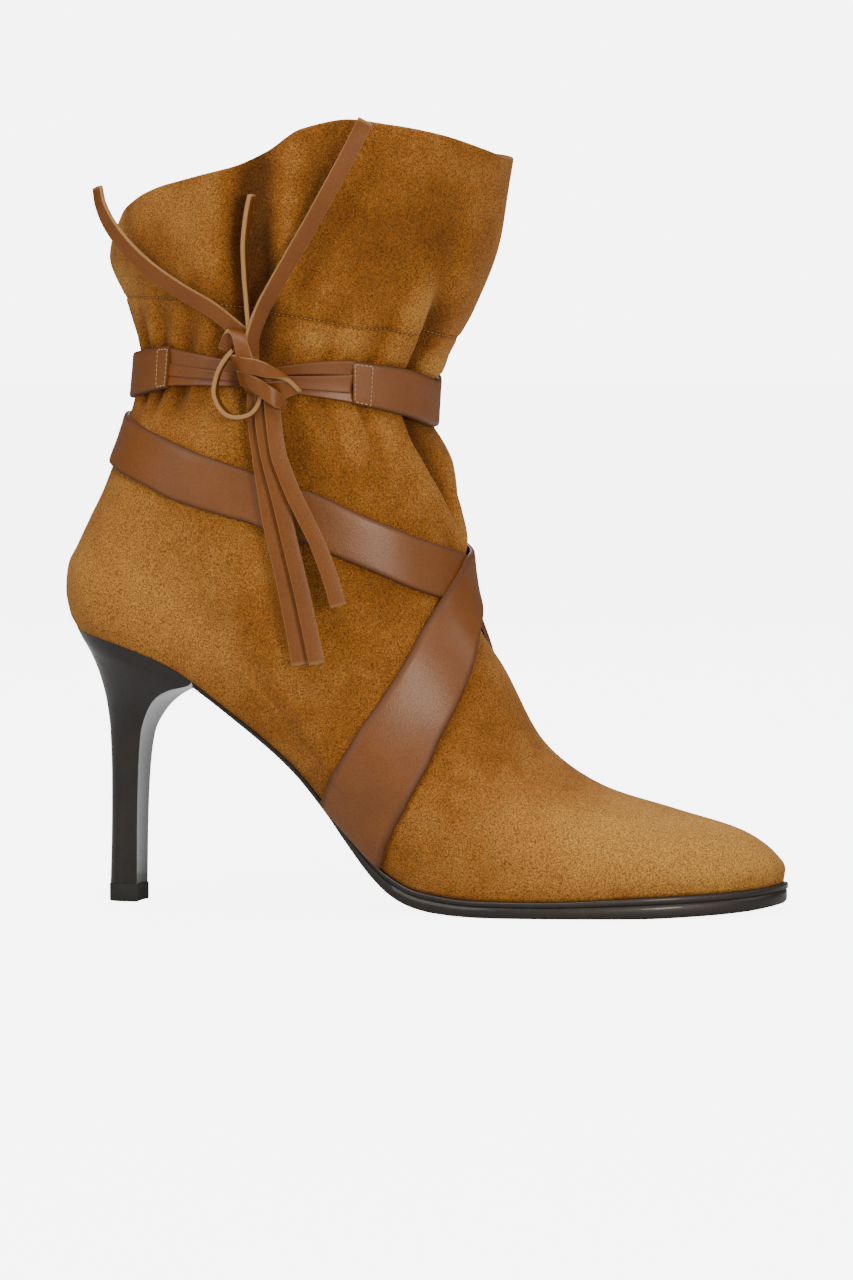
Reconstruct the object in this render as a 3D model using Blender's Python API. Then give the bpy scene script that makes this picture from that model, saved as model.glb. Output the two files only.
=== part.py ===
"""Heeled ankle boot, right foot: suede upper with a gathered collar, crossed straps, tied waist belt,
leather sole and slim heel. Tables are in millimetres, and the meshes are made in metres."""

import math

import bmesh
import bpy
import numpy as np

for old in list(bpy.data.objects):
    bpy.data.objects.remove(old, do_unlink=True)

MM = 0.001

# Driving sizes of the boot, in millimetres
WALL = 2.0
GAP = 0.35
TOE_INFLARE = 5.0
UPPER_ROWS = 29
UPPER_COLUMNS = 60
COLUMN_CROWDING = 0.35

# Line where the upper meets the sole, seen from the side: station along the foot and height
FEATHER_LINE = (
    # x, z
    (1.8, 92.2),
    (18.0, 88.2),
    (39.0, 80.2),
    (59.0, 66.2),
    (80.0, 49.2),
    (100.0, 26.6),
    (115.0, 12.9),
    (126.0, 8.2),
    (145.0, 6.0),
    (165.0, 5.8),
    (200.0, 7.3),
    (233.0, 9.2),
    (240.0, 10.4),
)

# Loops round the upper from the sole to the collar. Each loop runs from a point on the back of the heel to a
# point on the ridge of the vamp or the front of the shaft, with half widths at the rear, middle and fore,
# the lengths over which it rounds off at its two ends, the fullness of the front end, and the share of the
# sole's own curve that it follows.
SECTION_COLUMNS = (
    "back_x", "back_z", "front_x", "front_z",
    "rear", "middle", "fore", "back_round", "front_round", "front_power", "sag",
)
SECTIONS = (
    ("feather", 1.8, 92.2, 240.0, 10.4, 25.0, 22.5, 37.5, 26.0, 98.0, 1.85, 1.00),
    ("turn", -0.5, 96.6, 240.6, 14.6, 26.8, 25.0, 38.3, 27.0, 96.0, 1.90, 1.00),
    ("toe_wall", -2.0, 104.8, 237.2, 19.8, 28.0, 27.5, 38.2, 28.0, 95.0, 1.95, 0.97),
    ("toe_top", -1.3, 112.4, 227.0, 26.8, 28.6, 29.1, 37.2, 28.5, 102.0, 2.00, 0.92),
    ("vamp_low", 2.2, 120.0, 204.6, 33.6, 28.8, 29.7, 36.5, 29.0, 104.0, 2.0, 0.84),
    ("vamp", 6.6, 129.0, 180.5, 40.8, 28.8, 30.4, 36.0, 29.0, 104.0, 2.0, 0.72),
    ("vamp_high", 11.1, 138.0, 160.8, 54.4, 29.0, 32.0, 35.0, 30.0, 94.0, 2.0, 0.58),
    ("instep_low", 14.4, 146.0, 146.6, 79.4, 29.8, 33.0, 34.0, 31.0, 78.0, 2.0, 0.42),
    ("under_strap", 16.2, 150.6, 138.6, 92.0, 30.4, 33.2, 33.7, 32.5, 70.0, 2.0, 0.33),
    ("instep", 18.0, 155.2, 134.6, 104.0, 31.0, 33.5, 33.5, 34.0, 63.0, 2.0, 0.24),
    ("ankle_low", 20.5, 163.0, 132.0, 125.0, 32.0, 34.0, 33.0, 38.0, 56.0, 2.0, 0.12),
    ("ankle", 22.8, 170.0, 128.8, 149.0, 32.5, 34.0, 32.5, 42.0, 54.0, 2.1, 0.04),
    ("belt", 24.6, 177.6, 121.4, 167.6, 32.5, 33.5, 32.0, 46.0, 50.0, 2.2, 0.0),
    ("above_belt", 22.0, 189.5, 128.4, 184.0, 34.0, 35.5, 34.0, 48.0, 52.0, 2.2, 0.0),
    ("stitch_line", 18.4, 201.5, 137.2, 199.0, 36.5, 38.5, 37.0, 52.0, 56.0, 2.2, 0.0),
    ("collar", 13.6, 217.5, 145.4, 221.0, 39.5, 42.5, 40.5, 56.0, 60.0, 2.2, 0.0),
    ("rim", 17.2, 231.0, 149.6, 247.2, 40.0, 43.5, 42.0, 56.0, 62.0, 2.2, 0.0),
)
STATION_REAR, STATION_MIDDLE, STATION_FORE = 0.12, 0.36, 0.66

# Height of the collar's edge above the straight line from its back to its front
RIM_LIFT = (
    # share of the way from back to front, lift
    (0.0, -5.0),
    (0.02, -3.6),
    (0.045, -1.4),
    (0.08, 0.4),
    (0.12, 2.2),
    (0.17, 3.6),
    (0.22, 4.2),
    (0.36, 5.6),
    (0.46, 9.4),
    (0.55, 15.2),
    (0.64, 16.4),
    (0.76, 13.0),
    (0.88, 7.8),
    (1.0, 0.0),
)
RIM_LIFT_STARTS = 0.80
RIM_LIFT_INNER = 0.5


def column(table, index):
    return np.array([row[index] for row in table], float)


def smooth_through(knots, values, at):
    """Monotone cubic through the knots: slopes are harmonic means of the neighbouring chords."""
    at = np.clip(np.asarray(at, float), knots[0], knots[-1])
    step = np.diff(knots)
    chord = np.diff(values) / step
    slope = np.empty_like(values)
    slope[0], slope[-1] = chord[0], chord[-1]
    product = chord[:-1] * chord[1:]
    safe = np.where(product > 0, chord[:-1] + chord[1:], 1.0)
    slope[1:-1] = np.where(product > 0, 2.0 * product / safe, 0.0)
    i = np.clip(np.searchsorted(knots, at, side="right") - 1, 0, len(step) - 1)
    t = (at - knots[i]) / step[i]
    rise = step[i] * (slope[i] * t * (1 - t) ** 2 - slope[i + 1] * t**2 * (1 - t))
    return values[i] * (1 + 2 * t) * (1 - t) ** 2 + values[i + 1] * t**2 * (3 - 2 * t) + rise


def feather_height(x):
    return smooth_through(column(FEATHER_LINE, 0), column(FEATHER_LINE, 1), x)


SECTION_VALUES = {name: column(SECTIONS, i + 1) for i, name in enumerate(SECTION_COLUMNS)}
SECTION_GIRTH = np.concatenate((
    [0.0],
    np.cumsum(0.5 * (
        np.hypot(np.diff(SECTION_VALUES["back_x"]), np.diff(SECTION_VALUES["back_z"]))
        + np.hypot(np.diff(SECTION_VALUES["front_x"]), np.diff(SECTION_VALUES["front_z"]))
    )),
))
SECTION_KNOTS = SECTION_GIRTH / SECTION_GIRTH[-1]
HEIGHT_OF = {row[0]: SECTION_KNOTS[i] for i, row in enumerate(SECTIONS)}


def section_value(name, up):
    return smooth_through(SECTION_KNOTS, SECTION_VALUES[name], up)


def rounding(distance, length, power):
    """Share of the full half width at a distance from the end of a loop, 1 beyond the rounded length."""
    q = np.clip(distance / length, 0.0, 1.0)
    return np.sqrt(np.maximum(1.0 - (1.0 - q) ** power, 0.0))


def feather_dip(share):
    """How far the sole line hangs below the straight line from its back to its front."""
    start, end = FEATHER_LINE[0], FEATHER_LINE[-1]
    x = start[0] + (end[0] - start[0]) * share
    return feather_height(x) - (start[1] + (end[1] - start[1]) * share)


def upper_surface(around, up):
    """Point of the upper. around: 0 at the back, 0.25 outer side, 0.5 front, 0.75 inner side, 1 back again.
    up: 0 at the sole line and 1 at the collar's edge."""
    around, up = np.broadcast_arrays(np.asarray(around, float), np.asarray(up, float))
    turn = 2.0 * math.pi * around
    share = 0.5 * (1.0 - np.cos(turn))
    side = -np.sign(np.sin(turn))
    back_x, back_z = section_value("back_x", up), section_value("back_z", up)
    front_x, front_z = section_value("front_x", up), section_value("front_z", up)
    run = np.hypot(front_x - back_x, front_z - back_z)
    rear, middle, fore = (section_value(n, up) for n in ("rear", "middle", "fore"))
    to_middle = np.clip((share - STATION_REAR) / (STATION_MIDDLE - STATION_REAR), 0, 1)
    to_fore = np.clip((share - STATION_MIDDLE) / (STATION_FORE - STATION_MIDDLE), 0, 1)
    ease_middle = to_middle**2 * (3 - 2 * to_middle)
    ease_fore = to_fore**2 * (3 - 2 * to_fore)
    half = rear + (middle - rear) * ease_middle + (fore - middle) * ease_fore
    half = half * rounding(share * run, section_value("back_round", up), 2.2)
    half = half * rounding((1 - share) * run, section_value("front_round", up), section_value("front_power", up))
    inflare = TOE_INFLARE * np.clip((share - 0.45) / 0.55, 0, 1) ** 1.6 * (1 - np.clip(up / 0.6, 0, 1))
    rise = np.clip((up - RIM_LIFT_STARTS) / (1 - RIM_LIFT_STARTS), 0, 1)
    lift = smooth_through(column(RIM_LIFT, 0), column(RIM_LIFT, 1), share) * rise**1.5
    lift = np.where((lift > 0) & (np.sin(turn) < 0), lift * RIM_LIFT_INNER, lift)
    x = back_x + (front_x - back_x) * share
    y = inflare + side * half
    z = back_z + (front_z - back_z) * share + section_value("sag", up) * feather_dip(share) + lift
    return np.stack((x, y, z), axis=-1)


def upper_normal(around, up):
    """Outward direction of the upper, from small steps along the two ways of the surface."""
    step = 0.002
    low, high = np.clip(up - step, 0, 1), np.clip(up + step, 0, 1)
    along = upper_surface(around + step, up) - upper_surface(around - step, up)
    rise = upper_surface(around, high) - upper_surface(around, low)
    normal = np.cross(along, rise)
    return normal / np.linalg.norm(normal, axis=-1, keepdims=True)


def upper_offset(around, up, distance):
    distance = np.asarray(distance, float)
    return upper_surface(around, up) + upper_normal(around, up) * distance[..., None]


# Soft troughs where the belt gathers the suede: place round the boot below and above, reach, depth and span
FOLDS = (
    # name, around_low, around_high, reach, depth, up_from, up_to
    ("outer_valley", 0.240, 0.226, 0.020, 5.0, 0.66, 1.05),
    ("outer_front_pleat", 0.446, 0.400, 0.016, 3.5, 0.56, 0.84),
    ("inner_front_pleat", 0.554, 0.600, 0.016, 3.5, 0.56, 0.84),
    ("inner_valley", 0.760, 0.772, 0.022, 4.5, 0.66, 1.05),
    ("back_valley", 0.915, 0.925, 0.020, 3.0, 0.64, 0.98),
)


def fold_depth(around, up):
    """Depth of all the troughs at a place on the upper: a bell across each and an arch along it."""
    depth = np.zeros(np.broadcast(around, up).shape)
    for name, low, high, reach, deep, up_from, up_to in FOLDS:
        along = (up - up_from) / (up_to - up_from)
        centre = low + (high - low) * np.clip(along, 0, 1)
        arch = np.clip(4.0 * along * (1.0 - along), 0, 1) ** 0.8
        apart = (around - centre + 0.5) % 1.0 - 0.5
        depth = depth + deep * arch * np.exp(-((apart / reach) ** 2))
    return depth


# Meshes are collected by name as corner points and faces
PIECES = {}


def slab(name, outer, inner, faces):
    """Closed solid between two copies of one patch: outer face, inner face and a wall along each free edge."""
    count = len(outer)
    edges = {(f[i], f[(i + 1) % len(f)]) for f in faces for i in range(len(f))}
    solid = list(faces)
    solid += [tuple(i + count for i in reversed(f)) for f in faces]
    solid += [(b, a, a + count, b + count) for a, b in sorted(edges) if (b, a) not in edges]
    PIECES[name] = (np.concatenate((outer, inner)), solid)


def patch_faces(rows, columns, closed=False):
    """Quads of a grid of rows and columns, closed round the columns when asked."""
    faces = []
    for r in range(rows - 1):
        for c in range(columns if closed else columns - 1):
            n = (c + 1) % columns
            faces.append((r * columns + c, r * columns + n, (r + 1) * columns + n, (r + 1) * columns + c))
    return faces


def stack(name, rings):
    """Closed solid through rings from bottom to top. Each ring runs along one side and back along the other,
    so its two ends are bridged by quads across."""
    levels, count = rings.shape[:2]
    faces = patch_faces(levels, count, closed=True)
    top = (levels - 1) * count
    for i in range(count // 2):
        j = count - 1 - i
        if j - i < 2:
            continue
        strip = (i, i + 1, j - 1, j) if j - i > 2 else (i, i + 1, j)
        faces.append(tuple(top + k for k in strip))
        faces.append(tuple(reversed(strip)))
    PIECES[name] = (rings.reshape(-1, 3), faces)


# Upper: outer skin from the loops with its folds, inner skin one wall inside it. Its columns crowd towards the
# arch, where the sole line bends most.
columns_even = np.arange(UPPER_COLUMNS) / UPPER_COLUMNS
columns_at = columns_even + COLUMN_CROWDING * np.sin(4.0 * math.pi * columns_even) / (4.0 * math.pi)
rows_at = np.linspace(0.0, 1.0, UPPER_ROWS)
grid_up, grid_around = np.meshgrid(rows_at, columns_at, indexing="ij")
grid_fold = fold_depth(grid_around, grid_up)
skin_out = upper_offset(grid_around, grid_up, -grid_fold)
skin_in = upper_offset(grid_around, grid_up, -grid_fold - WALL)
skin_in[0, :, 2] = feather_height(skin_in[0, :, 0])
skin_in[-1, :, 2] = skin_out[-1, :, 2]
slab("upper", skin_out.reshape(-1, 3), skin_in.reshape(-1, 3), patch_faces(UPPER_ROWS, UPPER_COLUMNS, closed=True))


# Plan outline of the foot at the sole line
def outline_half(around, grow):
    """Points on the sole line moved outward in plan by a distance."""
    here = upper_surface(around, 0.0)
    ahead = upper_surface(around + 0.001, 0.0) - upper_surface(around - 0.001, 0.0)
    out = np.stack((ahead[..., 1], -ahead[..., 0]), axis=-1)
    out = out / np.linalg.norm(out, axis=-1, keepdims=True)
    here[..., :2] += out * np.asarray(grow, float)[..., None]
    return here


# Insole: a board that lies inside the upper on the sole, clear of the wall all round
INSOLE_THICK = 2.4
INSOLE_INSET = 2.9
insole_turn = np.delete(columns_at, (0, UPPER_COLUMNS // 2))
insole_ring = outline_half(insole_turn, np.full(len(insole_turn), -INSOLE_INSET))
insole_base = feather_height(insole_ring[:, 0]) + 0.1
insole_rings = np.repeat(insole_ring[None], 2, axis=0)
insole_rings[0, :, 2] = insole_base
insole_rings[1, :, 2] = insole_base + INSOLE_THICK
stack("insole", insole_rings)

# Outsole: from the heel's front edge to the toe, with its underside, its reach past the upper and its side steps
SOLE_DROP = 0.3
SOLE_JOINT = 0.15
SEAT_COLUMNS = 7
SOLE_UNDERSIDE = (
    # x, z
    (46.0, 74.0),
    (59.0, 64.2),
    (80.0, 46.6),
    (92.0, 32.6),
    (100.0, 21.8),
    (108.0, 12.2),
    (115.0, 6.2),
    (122.0, 2.8),
    (130.0, 1.0),
    (140.0, 0.2),
    (148.0, 0.0),
    (198.0, 0.0),
    (215.0, 0.6),
    (230.0, 1.7),
    (240.0, 3.4),
    (243.0, 4.4),
)
SOLE_REACH = (
    # x, reach past the upper
    (46.0, 0.1),
    (95.0, 0.2),
    (122.0, 0.9),
    (165.0, 1.2),
    (243.0, 1.1),
)
SOLE_SIDE = (
    # share of the thickness from the bottom, step in or out
    (0.0, -0.9),
    (0.16, -0.1),
    (0.66, 0.0),
    (0.72, 0.4),
    (0.94, 0.4),
    (1.0, 0.1),
)
sole_turn = columns_at[SEAT_COLUMNS:UPPER_COLUMNS - SEAT_COLUMNS + 1]
sole_line = upper_surface(sole_turn, 0.0)
sole_reach = smooth_through(column(SOLE_REACH, 0), column(SOLE_REACH, 1), sole_line[:, 0])
sole_rings = []
for share, step in SOLE_SIDE:
    ring = outline_half(sole_turn, sole_reach + step)
    ring[0, 0] = ring[-1, 0] = sole_line[0, 0] + SOLE_JOINT
    under = smooth_through(column(SOLE_UNDERSIDE, 0), column(SOLE_UNDERSIDE, 1), ring[:, 0])
    over = feather_height(ring[:, 0]) - SOLE_DROP
    ring[:, 2] = under + (over - under) * share
    sole_rings.append(ring)
stack("outsole", np.array(sole_rings))

# Heel: rings from the top lift to the seat, each from a point on its back to a point on its breast
LIFT_HEIGHT = 5.6
HEEL_RINGS = (
    # name, back_x, back_z, front_x, front_z, half, back_round
    ("lift_top", 12.1, 5.9, 22.9, 5.9, 6.4, 6.5),
    ("low", 12.6, 25.0, 23.1, 25.0, 6.7, 6.8),
    ("stem", 12.7, 43.0, 23.7, 43.0, 7.3, 7.4),
    ("neck", 12.3, 57.0, 25.0, 56.0, 8.8, 9.0),
    ("flare", 11.2, 67.0, 28.0, 63.5, 12.0, 12.5),
    ("shoulder", 9.1, 76.0, 32.2, 68.4, 16.6, 17.5),
    ("under_wing", 6.0, 84.0, 38.2, 71.6, 21.0, 22.5),
    ("under_seat", 3.0, 89.4, 46.2, 73.6, 24.2, 25.5),
)
seat_turn = columns_at[:SEAT_COLUMNS + 1]
seat_turn = np.concatenate((-seat_turn[:0:-1], seat_turn))
heel_share = 1.0 - np.cos(2.0 * math.pi * seat_turn)
heel_share = heel_share / heel_share[0]
heel_rings = []
for name, back_x, back_z, front_x, front_z, half, back_round in HEEL_RINGS:
    ring_x = back_x + (front_x - back_x) * heel_share
    ring_y = -np.sign(seat_turn) * half * rounding(ring_x - back_x, back_round, 2.2)
    ring_z = back_z + (front_z - back_z) * heel_share
    heel_rings.append(np.stack((ring_x, ring_y, ring_z), axis=-1))
seat_ring = outline_half(seat_turn, np.full(len(seat_turn), 0.1))
seat_ring[0, 0] = seat_ring[-1, 0] = sole_line[0, 0] - SOLE_JOINT
seat_ring[:, 2] = feather_height(seat_ring[:, 0]) - SOLE_DROP
heel_rings.append(seat_ring)
heel_rings = np.array(heel_rings)
stack("heel", heel_rings)

# Top lift: the wearing piece under the heel, a touch wider than the stem
lift_low = heel_rings[0].copy()
lift_middle = lift_low[:, :2].mean(axis=0)
lift_low[:, :2] = lift_middle + (lift_low[:, :2] - lift_middle) * 1.05
lift_rings = np.stack((lift_low, lift_low))
lift_rings[0, :, 2] = 0.0
lift_rings[1, :, 2] = LIFT_HEIGHT
stack("top_lift", lift_rings)

# Cross strap: one strap on the upper's own surface, between a rear edge and a front edge that each run over the
# surface as place round the boot and place up. The rows go from the outer side of the sole over the instep and
# along the inner side to the back, and the second half mirrors them to the inner side of the sole.
STRAP_THICK = 1.5
STRAP_GAP = 0.45
STRAP_PER_ROW = 3
STRAP_ACROSS = 5
STRAP_ROWS = (
    # rear_around, rear_up, front_around, front_up, over
    (0.2117, 0.008, 0.2403, 0.008, 0.0),
    (0.2214, 0.066, 0.2470, 0.048, 0.0),
    (0.2450, 0.186, 0.2572, 0.090, 0.0),
    (0.2756, 0.272, 0.2901, 0.189, 0.0),
    (0.3104, 0.340, 0.3438, 0.300, 0.0),
    (0.3600, 0.412, 0.3960, 0.374, 0.1),
    (0.4183, 0.476, 0.4500, 0.430, 1.0),
    (0.4531, 0.505, 0.4900, 0.458, 1.0),
    (0.4900, 0.527, 0.5300, 0.474, 1.0),
    (0.5300, 0.533, 0.5692, 0.480, 1.0),
    (0.5846, 0.539, 0.6150, 0.487, 1.0),
    (0.6567, 0.552, 0.6650, 0.498, 0.0),
    (0.7162, 0.565, 0.7200, 0.507, 0.0),
    (0.7627, 0.566, 0.7600, 0.506, 0.0),
    (0.8188, 0.553, 0.8178, 0.465, 0.0),
    (0.8826, 0.547, 0.8700, 0.428, 0.0),
    (0.9400, 0.555, 0.9300, 0.416, 0.0),
    (1.0000, 0.560, 1.0000, 0.418, 0.0),
)
first_half = np.array(STRAP_ROWS)
second_half = first_half[-2::-1].copy()
second_half[:, (0, 2)] = 2.0 - second_half[:, (0, 2)]
second_half[:, 4] = 0.0
strap_knots = np.concatenate((first_half, second_half))
strap_rows = np.arange(len(strap_knots), dtype=float)
strap_at = np.linspace(0.0, strap_rows[-1], (len(strap_knots) - 1) * STRAP_PER_ROW + 1)
strap_lines = np.stack([smooth_through(strap_rows, strap_knots[:, k], strap_at) for k in range(5)], axis=-1)


def strap_grid(lines, across):
    """Places round and up between the two edges of a strap, and its share of being on top."""
    share = np.linspace(0.0, 1.0, across)[:, None]
    around = lines[:, 0] + (lines[:, 2] - lines[:, 0]) * share
    up = lines[:, 1] + (lines[:, 3] - lines[:, 1]) * share
    return around, up, np.broadcast_to(lines[:, 4], around.shape)


strap_around, strap_up, strap_over = strap_grid(strap_lines, STRAP_ACROSS)
strap_base = STRAP_GAP + strap_over * (STRAP_THICK + GAP)
strap_inner = upper_offset(strap_around, strap_up, strap_base)
strap_outer = upper_offset(strap_around, strap_up, strap_base + STRAP_THICK)
strap_faces = [f[::-1] for f in patch_faces(STRAP_ACROSS, strap_around.shape[1])]
slab("cross_strap", strap_outer.reshape(-1, 3), strap_inner.reshape(-1, 3), strap_faces)

# Waist belt: from the front tab round the front, the inner side and the back to the rear tab. It is straight
# across, so it bridges the hollow of the waist between its two edges.
BELT_THICK = 1.8
BELT_GAP = 0.45
BELT_PER_ROW = 5
BELT_ROWS = (
    # low_around, low_up, high_around, high_up
    (0.3530, 0.675, 0.3450, 0.733),
    (0.4200, 0.667, 0.4200, 0.726),
    (0.5000, 0.656, 0.5000, 0.713),
    (0.5800, 0.664, 0.5800, 0.724),
    (0.6600, 0.672, 0.6600, 0.733),
    (0.7500, 0.674, 0.7500, 0.739),
    (0.8500, 0.662, 0.8500, 0.739),
    (0.9200, 0.634, 0.9200, 0.731),
    (1.0000, 0.606, 1.0000, 0.719),
    (1.0600, 0.622, 1.0600, 0.724),
    (1.1338, 0.660, 1.1440, 0.738),
)
belt_knots = np.array(BELT_ROWS)
belt_rows = np.arange(len(belt_knots), dtype=float)
belt_at = np.linspace(0.0, belt_rows[-1], (len(belt_knots) - 1) * BELT_PER_ROW + 1)
belt_lines = [smooth_through(belt_rows, belt_knots[:, k], belt_at) for k in range(4)]
belt_around, belt_up = np.stack(belt_lines[0::2]), np.stack(belt_lines[1::2])
belt_facing = upper_normal(belt_around, belt_up).sum(axis=0)
belt_facing /= np.linalg.norm(belt_facing, axis=-1, keepdims=True)
belt_inner = upper_surface(belt_around, belt_up) + belt_facing * BELT_GAP
belt_outer = belt_inner + belt_facing * BELT_THICK
belt_faces = patch_faces(2, belt_around.shape[1])
slab("waist_belt", belt_outer.reshape(-1, 3), belt_inner.reshape(-1, 3), belt_faces)

# Tie strips: each end of the belt is cut into three thongs that run along the surface to behind the knot
THONG_THICK = 1.5
THONG_WIDE = 5.2
COMB_STATIONS = 9
COMB_ROOT = 2
COMBS = (
    # name, start_around, end_around, then low and high edges of three thongs at the start and at the end
    ("tie_strips_left", 0.1500, 0.2270,
     (0.664, 0.685, 0.688, 0.710, 0.713, 0.735), (0.684, 0.692, 0.697, 0.705, 0.710, 0.722)),
    ("tie_strips_right", 0.3400, 0.2370,
     (0.677, 0.693, 0.696, 0.711, 0.714, 0.730), (0.684, 0.691, 0.695, 0.703, 0.707, 0.718)),
)
for name, start, end, start_up, end_up in COMBS:
    share = np.linspace(0.0, 1.0, COMB_STATIONS)
    comb_around = np.repeat((start + (end - start) * share)[:, None], 6, axis=1)
    comb_around[0] += 0.008 * (np.array(start_up) - start_up[0]) / (start_up[-1] - start_up[0]) - 0.006
    comb_up = np.array(start_up) + (np.array(end_up) - np.array(start_up)) * share[:, None]
    faces = [
        f for k, f in enumerate(patch_faces(COMB_STATIONS, 6))
        if k // 5 < COMB_ROOT - 1 or k % 5 in (0, 2, 4)
    ]
    flat = np.full(comb_around.shape, GAP)
    comb_inner = upper_offset(comb_around, comb_up, flat).reshape(-1, 3)
    comb_outer = upper_offset(comb_around, comb_up, flat + THONG_THICK).reshape(-1, 3)
    slab(name, comb_outer, comb_inner, faces)

# Thong ends and loop: routes in millimetres, with the turn of the flat side from facing outward
THONG_ENDS = {
    "tie_end_up_front": (
        # x, y, z, turn
        (75.6, -42.0, 189.0, 20.0),
        (79.9, -44.0, 202.6, 20.0),
        (85.5, -45.5, 211.6, 15.0),
        (90.9, -46.5, 219.4, 10.0),
        (101.4, -47.5, 237.1, 10.0),
        (109.1, -47.0, 250.5, 10.0),
        (112.5, -46.5, 257.6, 10.0),
    ),
    "tie_end_up_middle": (
        (71.3, -41.5, 189.0, 90.0),
        (70.6, -42.5, 200.4, 88.0),
        (70.4, -44.0, 209.0, 86.0),
        (70.6, -45.5, 218.8, 84.0),
        (72.1, -46.5, 228.2, 80.0),
        (73.6, -47.0, 234.3, 76.0),
    ),
    "tie_end_up_back": (
        (68.0, -41.0, 190.6, 30.0),
        (58.8, -40.5, 197.5, 30.0),
        (48.5, -39.5, 203.2, 25.0),
        (37.7, -37.5, 210.1, 25.0),
        (29.1, -35.0, 217.2, 25.0),
        (22.6, -33.0, 224.5, 30.0),
        (18.7, -32.0, 231.4, 40.0),
        (17.1, -31.5, 237.0, 50.0),
    ),
    "tie_end_down_back": (
        (73.9, -38.9, 167.0, 0.0),
        (75.6, -39.2, 151.6, 0.0),
        (77.0, -39.6, 138.6, 0.0),
        (79.0, -39.6, 126.3, 0.0),
        (82.8, -39.4, 110.0, 0.0),
        (86.0, -39.2, 92.4, 0.0),
        (88.3, -39.0, 81.7, 0.0),
    ),
    "tie_end_down_middle": (
        (76.6, -41.2, 166.7, 0.0),
        (77.7, -41.6, 153.3, 0.0),
        (81.1, -42.0, 138.1, 0.0),
        (86.1, -42.0, 120.5, 0.0),
        (90.1, -41.8, 103.7, 0.0),
        (94.6, -41.5, 82.2, 0.0),
    ),
    "tie_end_down_front": (
        (79.8, -43.6, 167.4, 0.0),
        (81.6, -44.2, 154.0, 0.0),
        (84.1, -44.4, 145.3, 0.0),
        (88.8, -44.5, 133.0, 0.0),
        (95.0, -44.2, 117.4, 0.0),
        (102.4, -43.4, 100.9, 0.0),
    ),
    "tie_loop": (
        (61.2, -41.3, 179.6, 90.0),
        (59.5, -41.3, 174.0, 90.0),
        (59.4, -41.3, 168.5, 90.0),
        (61.0, -41.3, 164.5, 90.0),
        (64.2, -41.3, 162.3, 90.0),
        (67.2, -41.3, 162.6, 90.0),
        (69.2, -41.3, 164.6, 90.0),
        (69.9, -41.3, 167.4, 90.0),
    ),
}


def thong(rows, steps):
    """Flat thong along a smooth route: two edges, thickened on both sides. The flat side faces outward and
    is turned about the route by the row's angle."""
    rows = np.array(rows)
    run = np.concatenate(([0.0], np.cumsum(np.linalg.norm(np.diff(rows[:, :3], axis=0), axis=1))))
    at = np.linspace(0.0, run[-1], steps)
    route = np.stack([smooth_through(run, rows[:, k], at) for k in range(3)], axis=-1)
    turn = np.radians(smooth_through(run, rows[:, 3], at))[:, None]
    ahead = np.gradient(route, axis=0)
    ahead /= np.linalg.norm(ahead, axis=1, keepdims=True)
    out = np.array((0.0, -1.0, 0.0)) - ahead * (ahead @ np.array((0.0, -1.0, 0.0)))[:, None]
    out /= np.linalg.norm(out, axis=1, keepdims=True)
    across = np.cross(out, ahead)
    wide = across * np.cos(turn) + out * np.sin(turn)
    face = out * np.cos(turn) - across * np.sin(turn)
    edges = np.stack((route - wide * THONG_WIDE / 2, route + wide * THONG_WIDE / 2), axis=1)
    half = face[:, None, :] * THONG_THICK / 2
    return (edges + half).reshape(-1, 3), (edges - half).reshape(-1, 3)


for name, rows in THONG_ENDS.items():
    steps = 2 * len(rows)
    outer, inner = thong(rows, steps)
    slab(name, outer, inner, patch_faces(steps, 2))

# Knot: a rounded lump on the thongs, with the size of the wound strips
KNOT_CENTRE = (73.5, -41.1, 177.7)
KNOT_HALF = (11.5, 5.2, 10.6)
KNOT_POWER = 0.85
KNOT_RINGS = 9
KNOT_SIDES = 16
knot_tilt = np.linspace(-0.5, 0.5, KNOT_RINGS + 2)[1:-1] * math.pi
knot_turn = np.arange(KNOT_SIDES) * 2.0 * math.pi / KNOT_SIDES


def eased(wave):
    return np.sign(wave) * np.abs(wave) ** KNOT_POWER


knot_ring = np.stack((
    eased(np.cos(knot_tilt))[:, None] * eased(np.cos(knot_turn)),
    eased(np.cos(knot_tilt))[:, None] * eased(np.sin(knot_turn)),
    np.repeat(eased(np.sin(knot_tilt))[:, None], KNOT_SIDES, axis=1),
), axis=-1)
stack("tie_knot", knot_ring * np.array(KNOT_HALF) + np.array(KNOT_CENTRE))

# Objects: the boot stands centred over the origin, with a plain finish on each piece
CORDS = tuple(n for n in PIECES if n.startswith("tie_knot") or n.startswith("tie_end") or n == "tie_loop")
FINISHES = (
    # start of the name, red, green, blue, roughness
    ("upper", 0.33, 0.16, 0.04, 0.95),
    ("insole", 0.45, 0.30, 0.17, 0.7),
    ("outsole", 0.03, 0.02, 0.018, 0.45),
    ("heel", 0.03, 0.02, 0.018, 0.4),
    ("top_lift", 0.02, 0.018, 0.016, 0.6),
    ("cross_strap", 0.23, 0.085, 0.028, 0.45),
    ("waist_belt", 0.23, 0.085, 0.028, 0.45),
    ("tie", 0.25, 0.095, 0.033, 0.5),
)

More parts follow.
